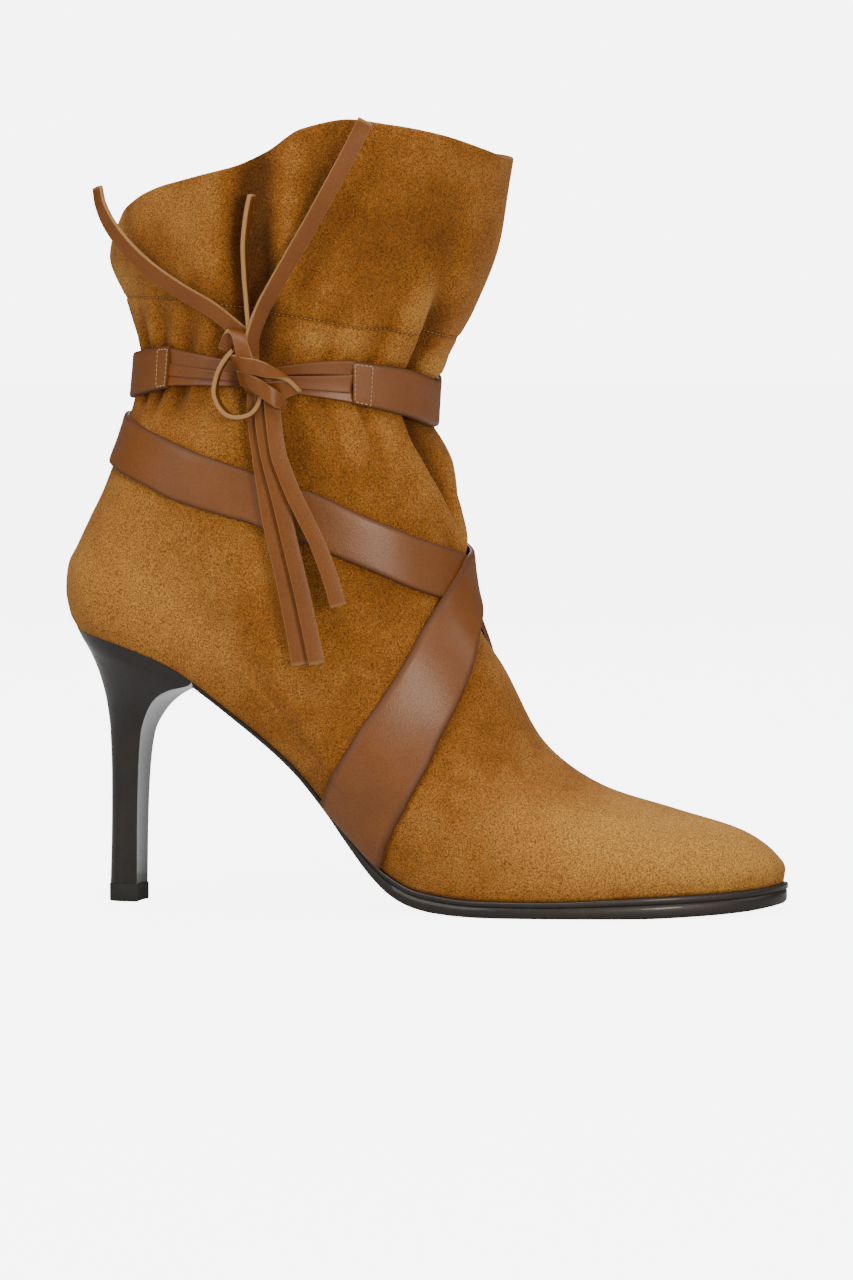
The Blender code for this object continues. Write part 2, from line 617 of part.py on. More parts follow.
solid_points = np.concatenate([points for name, (points, _) in PIECES.items() if name not in CORDS])
middle = 0.5 * (solid_points.min(axis=0) + solid_points.max(axis=0))
ORIGIN = np.array((middle[0], middle[1], solid_points[:, 2].min()))
for name, (points, faces) in PIECES.items():
    mesh = bpy.data.meshes.new(name)
    mesh.from_pydata(((points - ORIGIN) * MM).tolist(), [], faces)
    work = bmesh.new()
    work.from_mesh(mesh)
    bmesh.ops.recalc_face_normals(work, faces=work.faces)
    bmesh.ops.triangulate(work, faces=work.faces)
    work.to_mesh(mesh)
    work.free()
    finish = next(row for row in FINISHES if name.startswith(row[0]))
    material = bpy.data.materials.new(name)
    material.use_nodes = True
    shader = material.node_tree.nodes["Principled BSDF"]
    shader.inputs["Base Color"].default_value = (*finish[1:4], 1.0)
    shader.inputs["Roughness"].default_value = finish[4]
    mesh.materials.append(material)
    piece = bpy.data.objects.new(name, mesh)
    bpy.context.scene.collection.objects.link(piece)
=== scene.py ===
# %% [markdown]
# # A suede ankle boot with a tied belt
# The boot stands empty on its sole and its slim heel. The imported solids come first, as a fixed frame that
# says where every piece is. Each piece is then made again as a fine surface, in the same place, with its
# own finish. We work in millimetres, because leather is cut in millimetres, and turn to metres when a mesh
# is made.

# %% Load the frame
import math

import bpy
import numpy as np
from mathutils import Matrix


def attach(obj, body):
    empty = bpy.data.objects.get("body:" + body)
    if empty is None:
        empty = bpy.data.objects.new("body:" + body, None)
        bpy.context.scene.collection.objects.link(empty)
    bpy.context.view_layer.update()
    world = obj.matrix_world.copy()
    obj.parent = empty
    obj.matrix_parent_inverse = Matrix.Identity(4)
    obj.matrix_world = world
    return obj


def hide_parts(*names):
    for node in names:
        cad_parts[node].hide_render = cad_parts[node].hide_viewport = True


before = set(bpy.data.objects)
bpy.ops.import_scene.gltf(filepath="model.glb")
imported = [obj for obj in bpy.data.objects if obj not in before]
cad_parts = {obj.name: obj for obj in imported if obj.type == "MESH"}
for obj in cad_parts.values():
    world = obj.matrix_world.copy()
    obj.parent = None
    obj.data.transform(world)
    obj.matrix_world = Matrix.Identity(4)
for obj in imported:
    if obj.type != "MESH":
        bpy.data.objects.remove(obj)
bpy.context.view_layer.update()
MM = 0.001
ORIGIN = np.array((119.829, 0.012, 0.0))

# %% [markdown]
# ## Camera
# A product picture like this is taken with a long lens from low down, so the heel and the toe keep their
# true sizes. The camera stands two metres away, a little towards the toe, and looks just below the middle
# of the boot, which leaves more ground under it than air above. A wide lens close by would also frame the
# boot, but it would swell the near parts and shrink the far ones.

# %% Place the camera
VIEW_TURN = math.radians(14.0)
VIEW_RISE = math.radians(2.75)
VIEW_DISTANCE = 2.0
VIEW_TARGET = np.array((0.0012, 0.0, 0.0884))
towards_camera = np.array((
    math.sin(VIEW_TURN) * math.cos(VIEW_RISE),
    -math.cos(VIEW_TURN) * math.cos(VIEW_RISE),
    math.sin(VIEW_RISE),
))
lens = bpy.data.cameras.new("picture_camera")
lens.sensor_fit = "VERTICAL"
lens.sensor_height = 36.0
lens.lens = 170.2
camera = bpy.data.objects.new("picture_camera", lens)
camera.location = VIEW_TARGET + towards_camera * VIEW_DISTANCE
camera.rotation_euler = (math.pi / 2 - VIEW_RISE, 0.0, VIEW_TURN)
bpy.context.scene.collection.objects.link(camera)
bpy.context.scene.camera = camera
print("camera at", np.round(camera.location, 3).tolist())

# %% [markdown]
# ## Tools for surfaces
# Every piece of this boot is a grid of points: so many rows, so many columns, and a formula that turns the
# two counts into a place. One helper joins neighbouring points into quads and another puts points and quads
# into a mesh. A smooth curve through a short table of sizes gives the formulas their shape.

# %% Helpers for grids and curves


def column(table, index):
    """One column of a table, as numbers."""
    return np.array([row[index] for row in table], float)


def smooth_through(knots, values, at):
    """Monotone cubic through the knots: each slope is the harmonic mean of the chords on its two sides, so
    the curve never overshoots. Values may be rows of numbers, and each number then has its own curve."""
    knots, values = np.asarray(knots, float), np.asarray(values, float)
    at = np.clip(np.asarray(at, float), knots[0], knots[-1])
    step = np.diff(knots).reshape((-1,) + (1,) * (values.ndim - 1))
    chord = np.diff(values, axis=0) / step
    slope = np.empty_like(values)
    slope[0], slope[-1] = chord[0], chord[-1]
    product = chord[:-1] * chord[1:]
    safe = np.where(product > 0, chord[:-1] + chord[1:], 1.0)
    slope[1:-1] = np.where(product > 0, 2.0 * product / safe, 0.0)
    i = np.clip(np.searchsorted(knots, at, side="right") - 1, 0, len(knots) - 2)
    t = ((at - knots[i]) / np.diff(knots)[i]).reshape(at.shape + (1,) * (values.ndim - 1))
    wide = step[i] if values.ndim > 1 else np.diff(knots)[i]
    rise = wide * (slope[i] * t * (1 - t) ** 2 - slope[i + 1] * t**2 * (1 - t))
    return values[i] * (1 + 2 * t) * (1 - t) ** 2 + values[i + 1] * t**2 * (3 - 2 * t) + rise


def table_curve(table, at):
    """Smooth curve through a table whose first column is the place and whose second is the value."""
    return smooth_through(column(table, 0), column(table, 1), at)


def run_along(line):
    """Distance along a line of points, from its first point to each of them."""
    return np.concatenate(([0.0], np.cumsum(np.linalg.norm(np.diff(line[:, :3], axis=0), axis=1))))


def read_along(line, run, at):
    """Every column of a line, read at the given distances along it."""
    return np.stack([np.interp(at, run, values) for values in line.T], axis=-1)


def ease(value, low, high):
    """Share from 0 at low to 1 at high, flat at both ends: 3t squared minus 2t cubed."""
    t = np.clip((np.asarray(value, float) - low) / (high - low), 0.0, 1.0)
    return t * t * (3.0 - 2.0 * t)


def quads(rows, columns, close_rows=False, close_columns=False):
    """Corner numbers of a grid's quads: each place joins its neighbours one row and one column ahead."""
    r = np.arange(rows if close_rows else rows - 1)[:, None]
    c = np.arange(columns if close_columns else columns - 1)[None, :]
    r_next, c_next = (r + 1) % rows, (c + 1) % columns
    corners = (r * columns + c, r * columns + c_next, r_next * columns + c_next, r_next * columns + c)
    return np.stack(np.broadcast_arrays(*corners), axis=-1).reshape(-1, 4)


def tube_faces(rings, sides, first=0):
    """Faces of a closed tube: quads from ring to ring and one flat cap at each end."""
    faces = (first + quads(rings, sides, close_columns=True)).tolist()
    faces.append([first + k for k in reversed(range(sides))])
    faces.append([first + (rings - 1) * sides + k for k in range(sides)])
    return faces


def unit(vectors):
    """Vectors of length one: each is divided by its own length."""
    return vectors / np.linalg.norm(vectors, axis=-1, keepdims=True)


def put_in_scene(name, data):
    """Object that holds a mesh or a lamp, linked to the scene."""
    thing = bpy.data.objects.new(name, data)
    bpy.context.scene.collection.objects.link(thing)
    return thing


def add_piece(name, points, faces, marks=None):
    """Mesh object on body root from points in millimetres, smooth shaded, with named values kept at its
    points."""
    mesh = bpy.data.meshes.new(name)
    mesh.from_pydata(((points.reshape(-1, 3) - ORIGIN) * MM).tolist(), [], faces)
    mesh.polygons.foreach_set("use_smooth", np.ones(len(mesh.polygons), bool))
    for mark, values in (marks or {}).items():
        layer = mesh.attributes.new(mark, "FLOAT", "POINT")
        layer.data.foreach_set("value", np.asarray(values, np.float32).ravel())
    piece = put_in_scene(name, mesh)
    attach(piece, "root")
    return piece


# %% [markdown]
# ## Thongs
# The belt ends in narrow leather thongs that are knotted on the outer side. A thong is cut from the same
# hide as the straps: about five millimetres wide, one and a half thick, with raw pale edges where the knife
# went through. A curve with a bevel would give a round cord, so we carry a flat profile with eased corners
# along each route and turn it by the angle at which the real thong twists.

# %% A flat thong along a route
THONG_WIDE = 5.2
THONG_THICK = 1.5
THONG_STEPS, FINE_STEPS = 72, 40
THONG_PROFILE = np.array((
    # share of the half width, share of the half thickness, cut edge
    (-1.00, -0.70, 1.0), (-0.96, -0.98, 0.45), (-0.88, -1.02, 0.0), (-0.30, -1.05, 0.0), (0.30, -1.05, 0.0),
    (0.88, -1.02, 0.0), (0.96, -0.98, 0.45), (1.00, -0.70, 1.0), (1.00, 0.70, 1.0), (0.96, 0.98, 0.45),
    (0.88, 1.02, 0.0), (0.30, 1.08, 0.0), (-0.30, 1.08, 0.0), (-0.88, 1.02, 0.0), (-0.96, 0.98, 0.45),
    (-1.00, 0.70, 1.0),
))


def curve_through(rows, steps):
    """Catmull-Rom curve through rows of numbers, sampled at even distances: each stretch leaves a point along
    the line between that point's two neighbours."""
    rows = np.asarray(rows, float)
    padded = np.concatenate((2 * rows[:1] - rows[1:2], rows, 2 * rows[-1:] - rows[-2:-1]))
    fine = np.linspace(0.0, len(rows) - 1.0, FINE_STEPS * len(rows))
    i = np.minimum(fine.astype(int), len(rows) - 2)
    t = (fine - i)[:, None]
    a, b, c, d = (padded[i + k] for k in range(4))
    line = 0.5 * (2 * b + (c - a) * t + (2 * a - 5 * b + 4 * c - d) * t**2 + (3 * b - a - 3 * c + d) * t**3)
    run = run_along(line)
    return read_along(line, run, np.linspace(0.0, run[-1], steps)), run[-1]


def strip_between(left, right, thick, first=0):
    """Solid between two edge lines: the profile's width runs from edge to edge, and its thickness runs
    along the cross product of the route and the width."""
    middle, flat = (left + right) / 2, (right - left) / 2
    face = unit(np.cross(np.gradient(middle, axis=0), flat))
    points = (
        middle[:, None]
        + flat[:, None] * THONG_PROFILE[None, :, :1]
        + face[:, None] * THONG_PROFILE[None, :, 1:2] * thick / 2
    )
    steps, sides = points.shape[:2]
    faces = tube_faces(steps, sides, first)
    cut = np.repeat(THONG_PROFILE[None, :, 2], steps, axis=0)
    cut[0] = cut[-1] = 1.0
    return points.reshape(-1, 3), faces, cut.ravel()


def ribbon(rows, steps):
    """Thong along a route of x, y, z, turn rows. Its flat side faces away from the boot and is turned about
    the route by the row's angle, so one edge is at minus and one at plus half the width."""
    line, length = curve_through(rows, steps)
    route, turn = line[:, :3], np.radians(line[:, 3])[:, None]
    ahead = unit(np.gradient(route, axis=0))
    facing = np.array((0.0, -1.0, 0.0))
    out = unit(facing - ahead * (ahead @ facing)[:, None])
    half = (np.cross(out, ahead) * np.cos(turn) + out * np.sin(turn)) * THONG_WIDE / 2
    return (*strip_between(route - half, route + half, THONG_THICK), route, length)


# %% [markdown]
# ## Free ends and loop
# Three ends stand up against the collar and three hang over the ankle, and one small loop of thong is left
# over from tying. The photograph shows all of them from end to end, so their drawn length is their real
# one.

# %% Make the free ends
END_ROUTES = {
    "tie_end_up_front": (
        # x, y, z, turn
        (73.2, -43.0, 181.0, 52.0), (73.4, -43.3, 187.6, 52.0), (74.9, -43.6, 192.4, 50.0),
        (77.2, -43.9, 197.6, 44.0), (80.1, -44.4, 202.6, 38.0), (86.4, -45.4, 212.6, 30.0),
        (92.9, -46.4, 222.9, 26.0), (100.5, -47.2, 235.7, 24.0), (107.7, -47.2, 248.5, 20.0),
        (112.5, -46.6, 258.0, 10.0),
    ),
    "tie_end_up_middle": (
        (72.4, -41.8, 186.6, 100.0), (71.5, -42.5, 200.4, 98.0), (71.3, -44.0, 209.0, 96.0),
        (71.5, -45.5, 218.8, 94.0), (72.9, -46.5, 228.2, 92.0), (74.4, -47.0, 234.3, 90.0),
    ),
    "tie_end_up_back": (
        (72.6, -41.2, 187.2, -10.0), (67.6, -41.0, 190.9, -14.0), (58.8, -40.5, 197.5, -16.0),
        (48.5, -39.5, 203.2, -18.0), (37.7, -37.5, 210.1, -22.0), (29.1, -35.0, 217.2, -26.0),
        (22.6, -33.0, 224.5, -30.0), (18.9, -32.0, 231.4, -40.0), (17.5, -31.5, 237.6, -46.0),
    ),
    "tie_end_down_back": (
        (74.4, -41.0, 174.0, -10.0), (73.4, -39.8, 167.4, -10.0), (73.5, -38.9, 159.8, -12.0),
        (74.9, -39.2, 150.0, -14.0), (76.3, -39.5, 140.9, -14.0), (79.0, -39.6, 126.1, -14.0),
        (82.7, -39.4, 110.3, -14.0), (85.6, -39.2, 96.3, -14.0), (88.3, -39.0, 81.7, -14.0),
    ),
    "tie_end_down_middle": (
        (77.0, -41.4, 173.4, -14.0), (76.4, -41.2, 167.4, -14.0), (76.5, -41.2, 161.4, -14.0),
        (77.8, -41.7, 153.0, -16.0), (79.7, -42.0, 145.2, -16.0), (82.4, -42.1, 135.5, -14.0),
        (86.1, -42.0, 120.2, -14.0), (90.1, -41.8, 103.7, -14.0), (94.7, -41.5, 82.2, -14.0),
    ),
    "tie_end_down_front": (
        (79.4, -42.4, 172.4, -14.0), (80.0, -42.8, 166.4, -14.0), (80.8, -43.4, 160.4, -14.0),
        (81.6, -43.8, 155.0, -16.0), (82.7, -44.3, 149.8, -18.0), (84.4, -44.5, 145.3, -16.0),
        (87.3, -44.6, 138.2, -14.0), (91.0, -44.5, 130.7, -14.0), (95.8, -44.2, 121.0, -14.0),
        (99.7, -43.8, 110.6, -14.0), (102.4, -43.4, 101.2, -14.0),
    ),
    "tie_loop": (
        (66.9, -42.6, 183.9, 84.0), (64.7, -43.2, 181.3, 84.0), (62.5, -43.2, 177.7, 84.0),
        (61.1, -43.0, 173.5, 84.0), (60.8, -42.8, 169.9, 86.0), (62.0, -42.4, 166.4, 88.0),
        (63.7, -42.0, 164.1, 90.0), (65.9, -41.7, 162.6, 90.0), (69.5, -41.6, 162.3, 90.0),
        (73.0, -41.6, 163.4, 90.0), (75.4, -41.7, 166.0, 90.0), (76.5, -41.9, 169.0, 90.0),
    ),
}
thong_pieces = []
for node, rows in END_ROUTES.items():
    points, faces, cut, route, length = ribbon(rows, THONG_STEPS)
    end = add_piece("thong_" + node[4:], points, faces, {"cut_edge": cut})
    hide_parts(node)
    thong_pieces.append(end)
    print(node, "length", round(length, 1), "mm")

# %% [markdown]
# ## Knot
# The knot is a few turns of the same thong round the belt's strips. Seen from outside, one turn arches over
# the top and two more cross it on the slant. One of these comes to a point at the front, and the last turn
# goes back under that point. Each turn is a flat strip between two drawn edges, so it can narrow as
# pulled leather does, and a small egg-shaped core fills the hollow behind them.

# %% Wind the knot
KNOT_TURNS = (
    (   # over the top and down the front: x, y, z of one edge and of the other
        (61.5, -41.0, 184.9, 65.9, -40.5, 183.5), (62.6, -42.0, 187.4, 67.1, -41.5, 186.4),
        (64.2, -43.2, 189.9, 69.6, -42.8, 189.5), (65.9, -44.8, 190.2, 71.4, -44.6, 188.9),
        (67.5, -46.2, 188.3, 72.8, -46.2, 186.6), (68.6, -47.0, 185.1, 74.0, -47.0, 183.6),
        (69.3, -46.8, 182.1, 74.8, -46.8, 180.8), (69.8, -45.0, 179.4, 75.4, -45.0, 178.2),
    ),
    (   # slant turn that comes to a point at the front
        (67.0, -44.5, 182.7, 68.8, -43.5, 178.0), (71.6, -47.4, 181.8, 71.6, -46.7, 176.8),
        (76.1, -48.5, 181.1, 75.7, -48.0, 176.1), (79.7, -48.8, 179.9, 79.8, -49.0, 175.2),
        (83.1, -48.2, 177.8, 84.3, -48.9, 174.9), (86.0, -46.5, 175.3, 87.1, -48.0, 174.2),
        (88.3, -44.0, 172.7, 89.7, -45.5, 171.1), (89.0, -42.4, 171.6, 89.6, -43.2, 170.4),
    ),
    (   # lower slant turn
        (68.8, -43.5, 177.6, 70.0, -42.5, 172.5), (72.2, -46.2, 176.7, 73.2, -45.4, 171.7),
        (75.8, -47.4, 175.4, 76.1, -46.8, 169.9), (79.1, -47.4, 173.5, 79.1, -47.4, 167.7),
        (81.8, -46.6, 171.7, 81.6, -46.8, 165.9), (83.9, -44.8, 169.6, 82.6, -45.2, 165.2),
        (84.7, -42.0, 167.8, 83.0, -42.5, 164.9),
    ),
    (   # turn that goes back under the point
        (89.4, -43.5, 171.5, 89.0, -43.0, 170.3), (87.6, -45.4, 173.0, 87.6, -44.6, 169.6),
        (84.8, -45.8, 174.0, 85.5, -44.8, 168.7), (82.3, -45.2, 174.0, 83.0, -44.2, 168.4),
        (79.6, -44.0, 173.6, 80.3, -43.0, 168.0),
    ),
)
CORE_CENTRE = np.array((75.0, -40.6, 174.6))
CORE_HALF = np.array((6.0, 2.8, 6.0))
CORE_RINGS, CORE_SIDES, CORE_TILT = 15, 24, 0.46
TURN_STEPS = 48


def core_points():
    """Egg shape: the cosine of the tilt times the cosine and sine of the turn gives x and y, and the sine of
    the tilt gives z, each times a half size."""
    tilt = np.linspace(-CORE_TILT, CORE_TILT, CORE_RINGS)[:, None] * math.pi
    turn = np.arange(CORE_SIDES)[None] * 2.0 * math.pi / CORE_SIDES
    ball = np.broadcast_arrays(np.cos(tilt) * np.cos(turn), np.cos(tilt) * np.sin(turn), np.sin(tilt))
    return CORE_CENTRE + np.stack(ball, axis=-1) * CORE_HALF


knot_points, knot_faces, knot_cut, count = [], [], [], 0
for rows in KNOT_TURNS:
    line, _ = curve_through(rows, TURN_STEPS)
    points, faces, cut = strip_between(line[:, :3], line[:, 3:], THONG_THICK, first=count)
    knot_points.append(points)
    knot_faces += faces
    knot_cut.append(cut)
    count += len(points)
core = core_points().reshape(-1, 3)
knot_points.append(core)
knot_faces += tube_faces(CORE_RINGS, CORE_SIDES, count)
knot_cut.append(np.zeros(len(core)))
knot_marks = {"cut_edge": np.concatenate(knot_cut)}
knot = add_piece("knot_turns", np.concatenate(knot_points), knot_faces, knot_marks)
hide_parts("tie_knot")
thong_pieces.append(knot)

# %% [markdown]
# ## The last shape
# A shoemaker's last gives the upper its form: heel cup, waist, ball and an almond toe. Here it is a stack
# of loops from the sole line to the collar. Each loop runs from a point on the back to a point on the
# ridge, with half widths at the rear, middle and fore and a rounded end. Two numbers then name any place on
# the upper: how far around, from the back over the outer side, and how far up, from the sole to the
# collar's edge.

# %% Tables of the upper
FEATHER_LINE = (
    # x, z of the line where the upper meets the sole
    (1.8, 92.2), (18.0, 88.2), (39.0, 80.2), (59.0, 66.2), (80.0, 49.2), (100.0, 26.6), (115.0, 12.9),
    (126.0, 8.2), (145.0, 6.0), (165.0, 5.8), (200.0, 7.3), (233.0, 9.2), (240.0, 10.4),
)
SECTION_COLUMNS = (
    "back_x", "back_z", "front_x", "front_z",
    "rear", "middle", "fore", "back_round", "front_round", "front_power", "sag",
)
SECTIONS = (
    ("feather", 1.8, 92.2, 240.0, 10.4, 25.0, 22.5, 37.5, 26.0, 98.0, 1.85, 1.00),
    ("turn", -0.5, 96.6, 240.6, 14.6, 26.8, 25.0, 38.3, 27.0, 96.0, 1.90, 1.00),
    ("toe_wall", -2.0, 104.8, 237.2, 19.8, 28.0, 27.5, 38.2, 28.0, 95.0, 1.95, 0.97),
    ("toe_top", -1.3, 112.4, 227.0, 26.8, 28.6, 29.1, 37.2, 28.5, 102.0, 2.00, 0.92),
    ("vamp_low", 2.2, 120.0, 204.6, 33.6, 28.8, 29.7, 36.5, 29.0, 104.0, 2.0, 0.84),
    ("vamp", 6.6, 129.0, 180.5, 40.8, 28.8, 30.4, 36.0, 29.0, 104.0, 2.0, 0.72),
    ("vamp_high", 11.1, 138.0, 160.8, 54.4, 29.0, 32.0, 35.0, 30.0, 94.0, 2.0, 0.58),
    ("instep_low", 14.4, 146.0, 146.6, 79.4, 29.8, 33.0, 34.0, 31.0, 78.0, 2.0, 0.42),
    ("under_strap", 16.2, 150.6, 138.6, 92.0, 30.4, 33.2, 33.7, 32.5, 70.0, 2.0, 0.33),
    ("instep", 18.0, 155.2, 134.6, 104.0, 31.0, 33.5, 33.5, 34.0, 63.0, 2.0, 0.24),
    ("ankle_low", 20.5, 163.0, 132.0, 125.0, 32.0, 34.0, 33.0, 38.0, 56.0, 2.0, 0.12),
    ("ankle", 22.8, 170.0, 128.8, 149.0, 32.5, 34.0, 32.5, 42.0, 54.0, 2.1, 0.04),
    ("belt", 24.6, 177.6, 121.4, 167.6, 32.5, 33.5, 32.0, 46.0, 50.0, 2.2, 0.0),
    ("above_belt", 22.0, 189.5, 128.4, 184.0, 34.0, 35.5, 34.0, 48.0, 52.0, 2.2, 0.0),
    ("stitch_line", 18.4, 201.5, 137.2, 199.0, 36.5, 38.5, 37.0, 52.0, 56.0, 2.2, 0.0),
    ("collar", 13.6, 217.5, 145.4, 221.0, 39.5, 42.5, 40.5, 56.0, 60.0, 2.2, 0.0),
    ("rim", 17.2, 231.0, 149.6, 247.2, 40.0, 43.5, 42.0, 56.0, 62.0, 2.2, 0.0),
)
STATION_REAR, STATION_MIDDLE, STATION_FORE = 0.12, 0.36, 0.66
BACK_POWER = 2.2
TOE_INFLARE, INFLARE_STARTS, INFLARE_POWER, INFLARE_TOP = 5.0, 0.45, 1.6, 0.6
RIM_LIFT = (
    # share of the way from back to front, lift of the collar's edge
    (0.0, -5.0), (0.02, -3.6), (0.045, -1.4), (0.08, 0.4), (0.12, 2.2), (0.17, 3.6), (0.22, 4.2), (0.36, 5.6),
    (0.46, 9.4), (0.55, 15.2), (0.64, 16.4), (0.76, 13.0), (0.88, 7.8), (0.97, 1.8), (1.0, -0.9),
)
RIM_LIFT_STARTS, RIM_LIFT_POWER, RIM_LIFT_INNER = 0.80, 1.5, 0.5
SECTION_VALUES = {name: column(SECTIONS, i + 1) for i, name in enumerate(SECTION_COLUMNS)}
section_steps = 0.5 * (
    np.hypot(np.diff(SECTION_VALUES["back_x"]), np.diff(SECTION_VALUES["back_z"]))
    + np.hypot(np.diff(SECTION_VALUES["front_x"]), np.diff(SECTION_VALUES["front_z"]))
)
section_girth = np.concatenate(([0.0], np.cumsum(section_steps)))
SECTION_KNOTS = section_girth / section_girth[-1]
print("loops:", len(SECTIONS), "height along the surface", round(section_girth[-1], 1), "mm")

# %% Surface of the upper


def feather_height(x):
    """Height of the sole line at x."""
    return table_curve(FEATHER_LINE, x)


def section_value(name, up):
    """One number of the loops at a height: the smooth curve through its column."""
    return smooth_through(SECTION_KNOTS, SECTION_VALUES[name], up)


def rounding(distance, length, power):
    """Share of the full half width at a distance from a loop's end: root of one minus (1 - q) to a power."""
    q = np.clip(distance / length, 0.0, 1.0)
    return np.sqrt(np.maximum(1.0 - (1.0 - q) ** power, 0.0))


def feather_dip(share):
    """How far the sole line hangs below the straight line between its ends."""
    start, end = FEATHER_LINE[0], FEATHER_LINE[-1]
    return feather_height(start[0] + (end[0] - start[0]) * share) - (start[1] + (end[1] - start[1]) * share)


def upper_surface(around, up):
    """Place on the upper. x goes from back to front as half of one minus cosine, y is the half width, eased
    between three stations and rounded at both ends, and z follows the loop's line with its share of the
    sole's dip and the lift of the collar's edge."""
    around, up = np.broadcast_arrays(np.asarray(around, float), np.asarray(up, float))
    turn = 2.0 * math.pi * around
    share = 0.5 * (1.0 - np.cos(turn))
    back_x, back_z = section_value("back_x", up), section_value("back_z", up)
    front_x, front_z = section_value("front_x", up), section_value("front_z", up)
    run = np.hypot(front_x - back_x, front_z - back_z)
    rear, middle, fore = (section_value(n, up) for n in ("rear", "middle", "fore"))
    half = rear + (middle - rear) * ease(share, STATION_REAR, STATION_MIDDLE)
    half = half + (fore - middle) * ease(share, STATION_MIDDLE, STATION_FORE)
    half = half * rounding(share * run, section_value("back_round", up), BACK_POWER)
    front_round, front_power = section_value("front_round", up), section_value("front_power", up)
    half = half * rounding((1 - share) * run, front_round, front_power)
    towards_toe = np.clip((share - INFLARE_STARTS) / (1 - INFLARE_STARTS), 0, 1)
    inflare = TOE_INFLARE * towards_toe**INFLARE_POWER * (1 - np.clip(up / INFLARE_TOP, 0, 1))
    rise = np.clip((up - RIM_LIFT_STARTS) / (1 - RIM_LIFT_STARTS), 0, 1)
    lift = table_curve(RIM_LIFT, share) * rise**RIM_LIFT_POWER
    lift = np.where((lift > 0) & (np.sin(turn) < 0), lift * RIM_LIFT_INNER, lift)
    x = back_x + (front_x - back_x) * share
    y = inflare - np.sign(np.sin(turn)) * half
    z = back_z + (front_z - back_z) * share + section_value("sag", up) * feather_dip(share) + lift
    return np.stack((x, y, z), axis=-1)


def upper_normal(around, up):
    """Outward direction: cross product of small steps along the two ways of the surface."""
    step = 0.002
    along = upper_surface(around + step, up) - upper_surface(around - step, up)
    rise = upper_surface(around, np.clip(up + step, 0, 1)) - upper_surface(around, np.clip(up - step, 0, 1))
    return unit(np.cross(along, rise))


def upper_offset(around, up, distance):
    """Place on the upper, moved along the outward direction by a distance."""
    return upper_surface(around, up) + upper_normal(around, up) * np.asarray(distance, float)[..., None]


print("toe point", np.round(upper_surface(0.5, 0.0), 1).tolist())

# %% [markdown]
# ## Folds in the suede
# The belt gathers a wide soft shaft, so the suede stands in small pleats above and below it, with one deep
# valley on the outer side of the collar and a pleat at each side of the front, whose near edge is crisp.
# Cloth simulation could find folds of its own, but these have known places. Each is a bell across and an
# arch along, added to the distance from the last. A trough is negative and a ridge positive.

# %% Tables of folds
FOLDS = (
    # around below, around above, reach, height, up from, up to
    (0.246, 0.224, 0.017, -5.2, 0.66, 1.06),
    (0.268, 0.258, 0.013, 1.5, 0.74, 1.06),
    (0.268, 0.296, 0.018, -1.7, 0.76, 1.06),
    (0.200, 0.190, 0.020, 0.9, 0.76, 1.06),
    (0.345, 0.352, 0.030, 0.8, 0.80, 1.06),
    (0.420, 0.408, 0.016, -0.9, 0.78, 0.98),
    (0.745, 0.760, 0.018, -4.4, 0.66, 1.06),
    (0.722, 0.735, 0.013, 1.3, 0.74, 1.06),
    (0.690, 0.680, 0.020, -1.5, 0.78, 1.06),
    (0.800, 0.812, 0.020, 0.9, 0.76, 1.06),
    (0.912, 0.925, 0.018, -2.4, 0.64, 1.00),
    (0.500, 0.500, 0.034, 1.6, 0.520, 0.660),
    (0.510, 0.510, 0.030, 1.8, 0.528, 0.585),
    (0.500, 0.500, 0.045, -1.7, 0.620, 0.705),
    (0.500, 0.500, 0.050, 1.5, 0.690, 0.746),
)
GATHERS = (
    # around, lean, reach, height: small pleats at the belt on the outer side, mirrored to the inner one
    (0.030, 0.004, 0.009, -0.9),
    (0.064, 0.003, 0.009, 0.8),
    (0.086, 0.004, 0.008, -1.5),
    (0.104, 0.006, 0.008, 1.2),
    (0.121, 0.008, 0.008, -1.7),
    (0.139, 0.010, 0.009, 1.3),
    (0.158, 0.010, 0.009, -1.6),
    (0.182, 0.006, 0.010, 0.8),
    (0.206, 0.002, 0.009, -1.1),
    (0.274, -0.004, 0.010, -1.2),
    (0.298, -0.004, 0.010, 1.0),
    (0.318, -0.002, 0.009, -0.8),
    (0.340, 0.002, 0.012, 1.5),
    (0.366, 0.004, 0.010, -1.3),
    (0.388, 0.004, 0.010, 1.0),
    (0.452, 0.000, 0.014, 0.9),
)
GATHER_SPAN = (0.560, 0.850)
FOLD_POWER, GATHER_POWER = 0.8, 1.4
GATHER_INNER, GATHER_INNER_SHIFT = 0.85, 0.006
BELT_MIDDLE, LEAN_OVER = 0.70, 0.06
BELT_TOP = 0.738
BELT_DIPS = (
    # around, depth, reach of the two dips in the belt's upper edge
    (0.5, 0.026, 0.11), (0.0, 0.018, 0.10),
)
PRESSED_FROM, PRESSED_FADE, PRESSED_LEAVES = (0.600, 0.668), 0.014, 0.1
PLEAT_PATH = (
    # up, around of the pleat's crisp edge
    (0.500, 0.520), (0.545, 0.493), (0.583, 0.458), (0.615, 0.430), (0.640, 0.418), (0.666, 0.421),
    (0.750, 0.419), (0.800, 0.412), (0.850, 0.404),
)
PLEAT_DEPTH, PLEAT_BEYOND, PLEAT_STEEP, PLEAT_SLOW = 3.8, 0.010, 0.0075, 0.034
PLEAT_GROWS, PLEAT_FADES = (0.50, 0.57), (0.79, 0.86)
CREST_HEIGHT, CREST_BEFORE, CREST_REACH = 0.9, 0.014, 0.016
FRONT_FILL, FRONT_REACH = 0.85, 0.028
GROOVE_DEPTH, GROOVE_REACH = 0.55, 0.0035
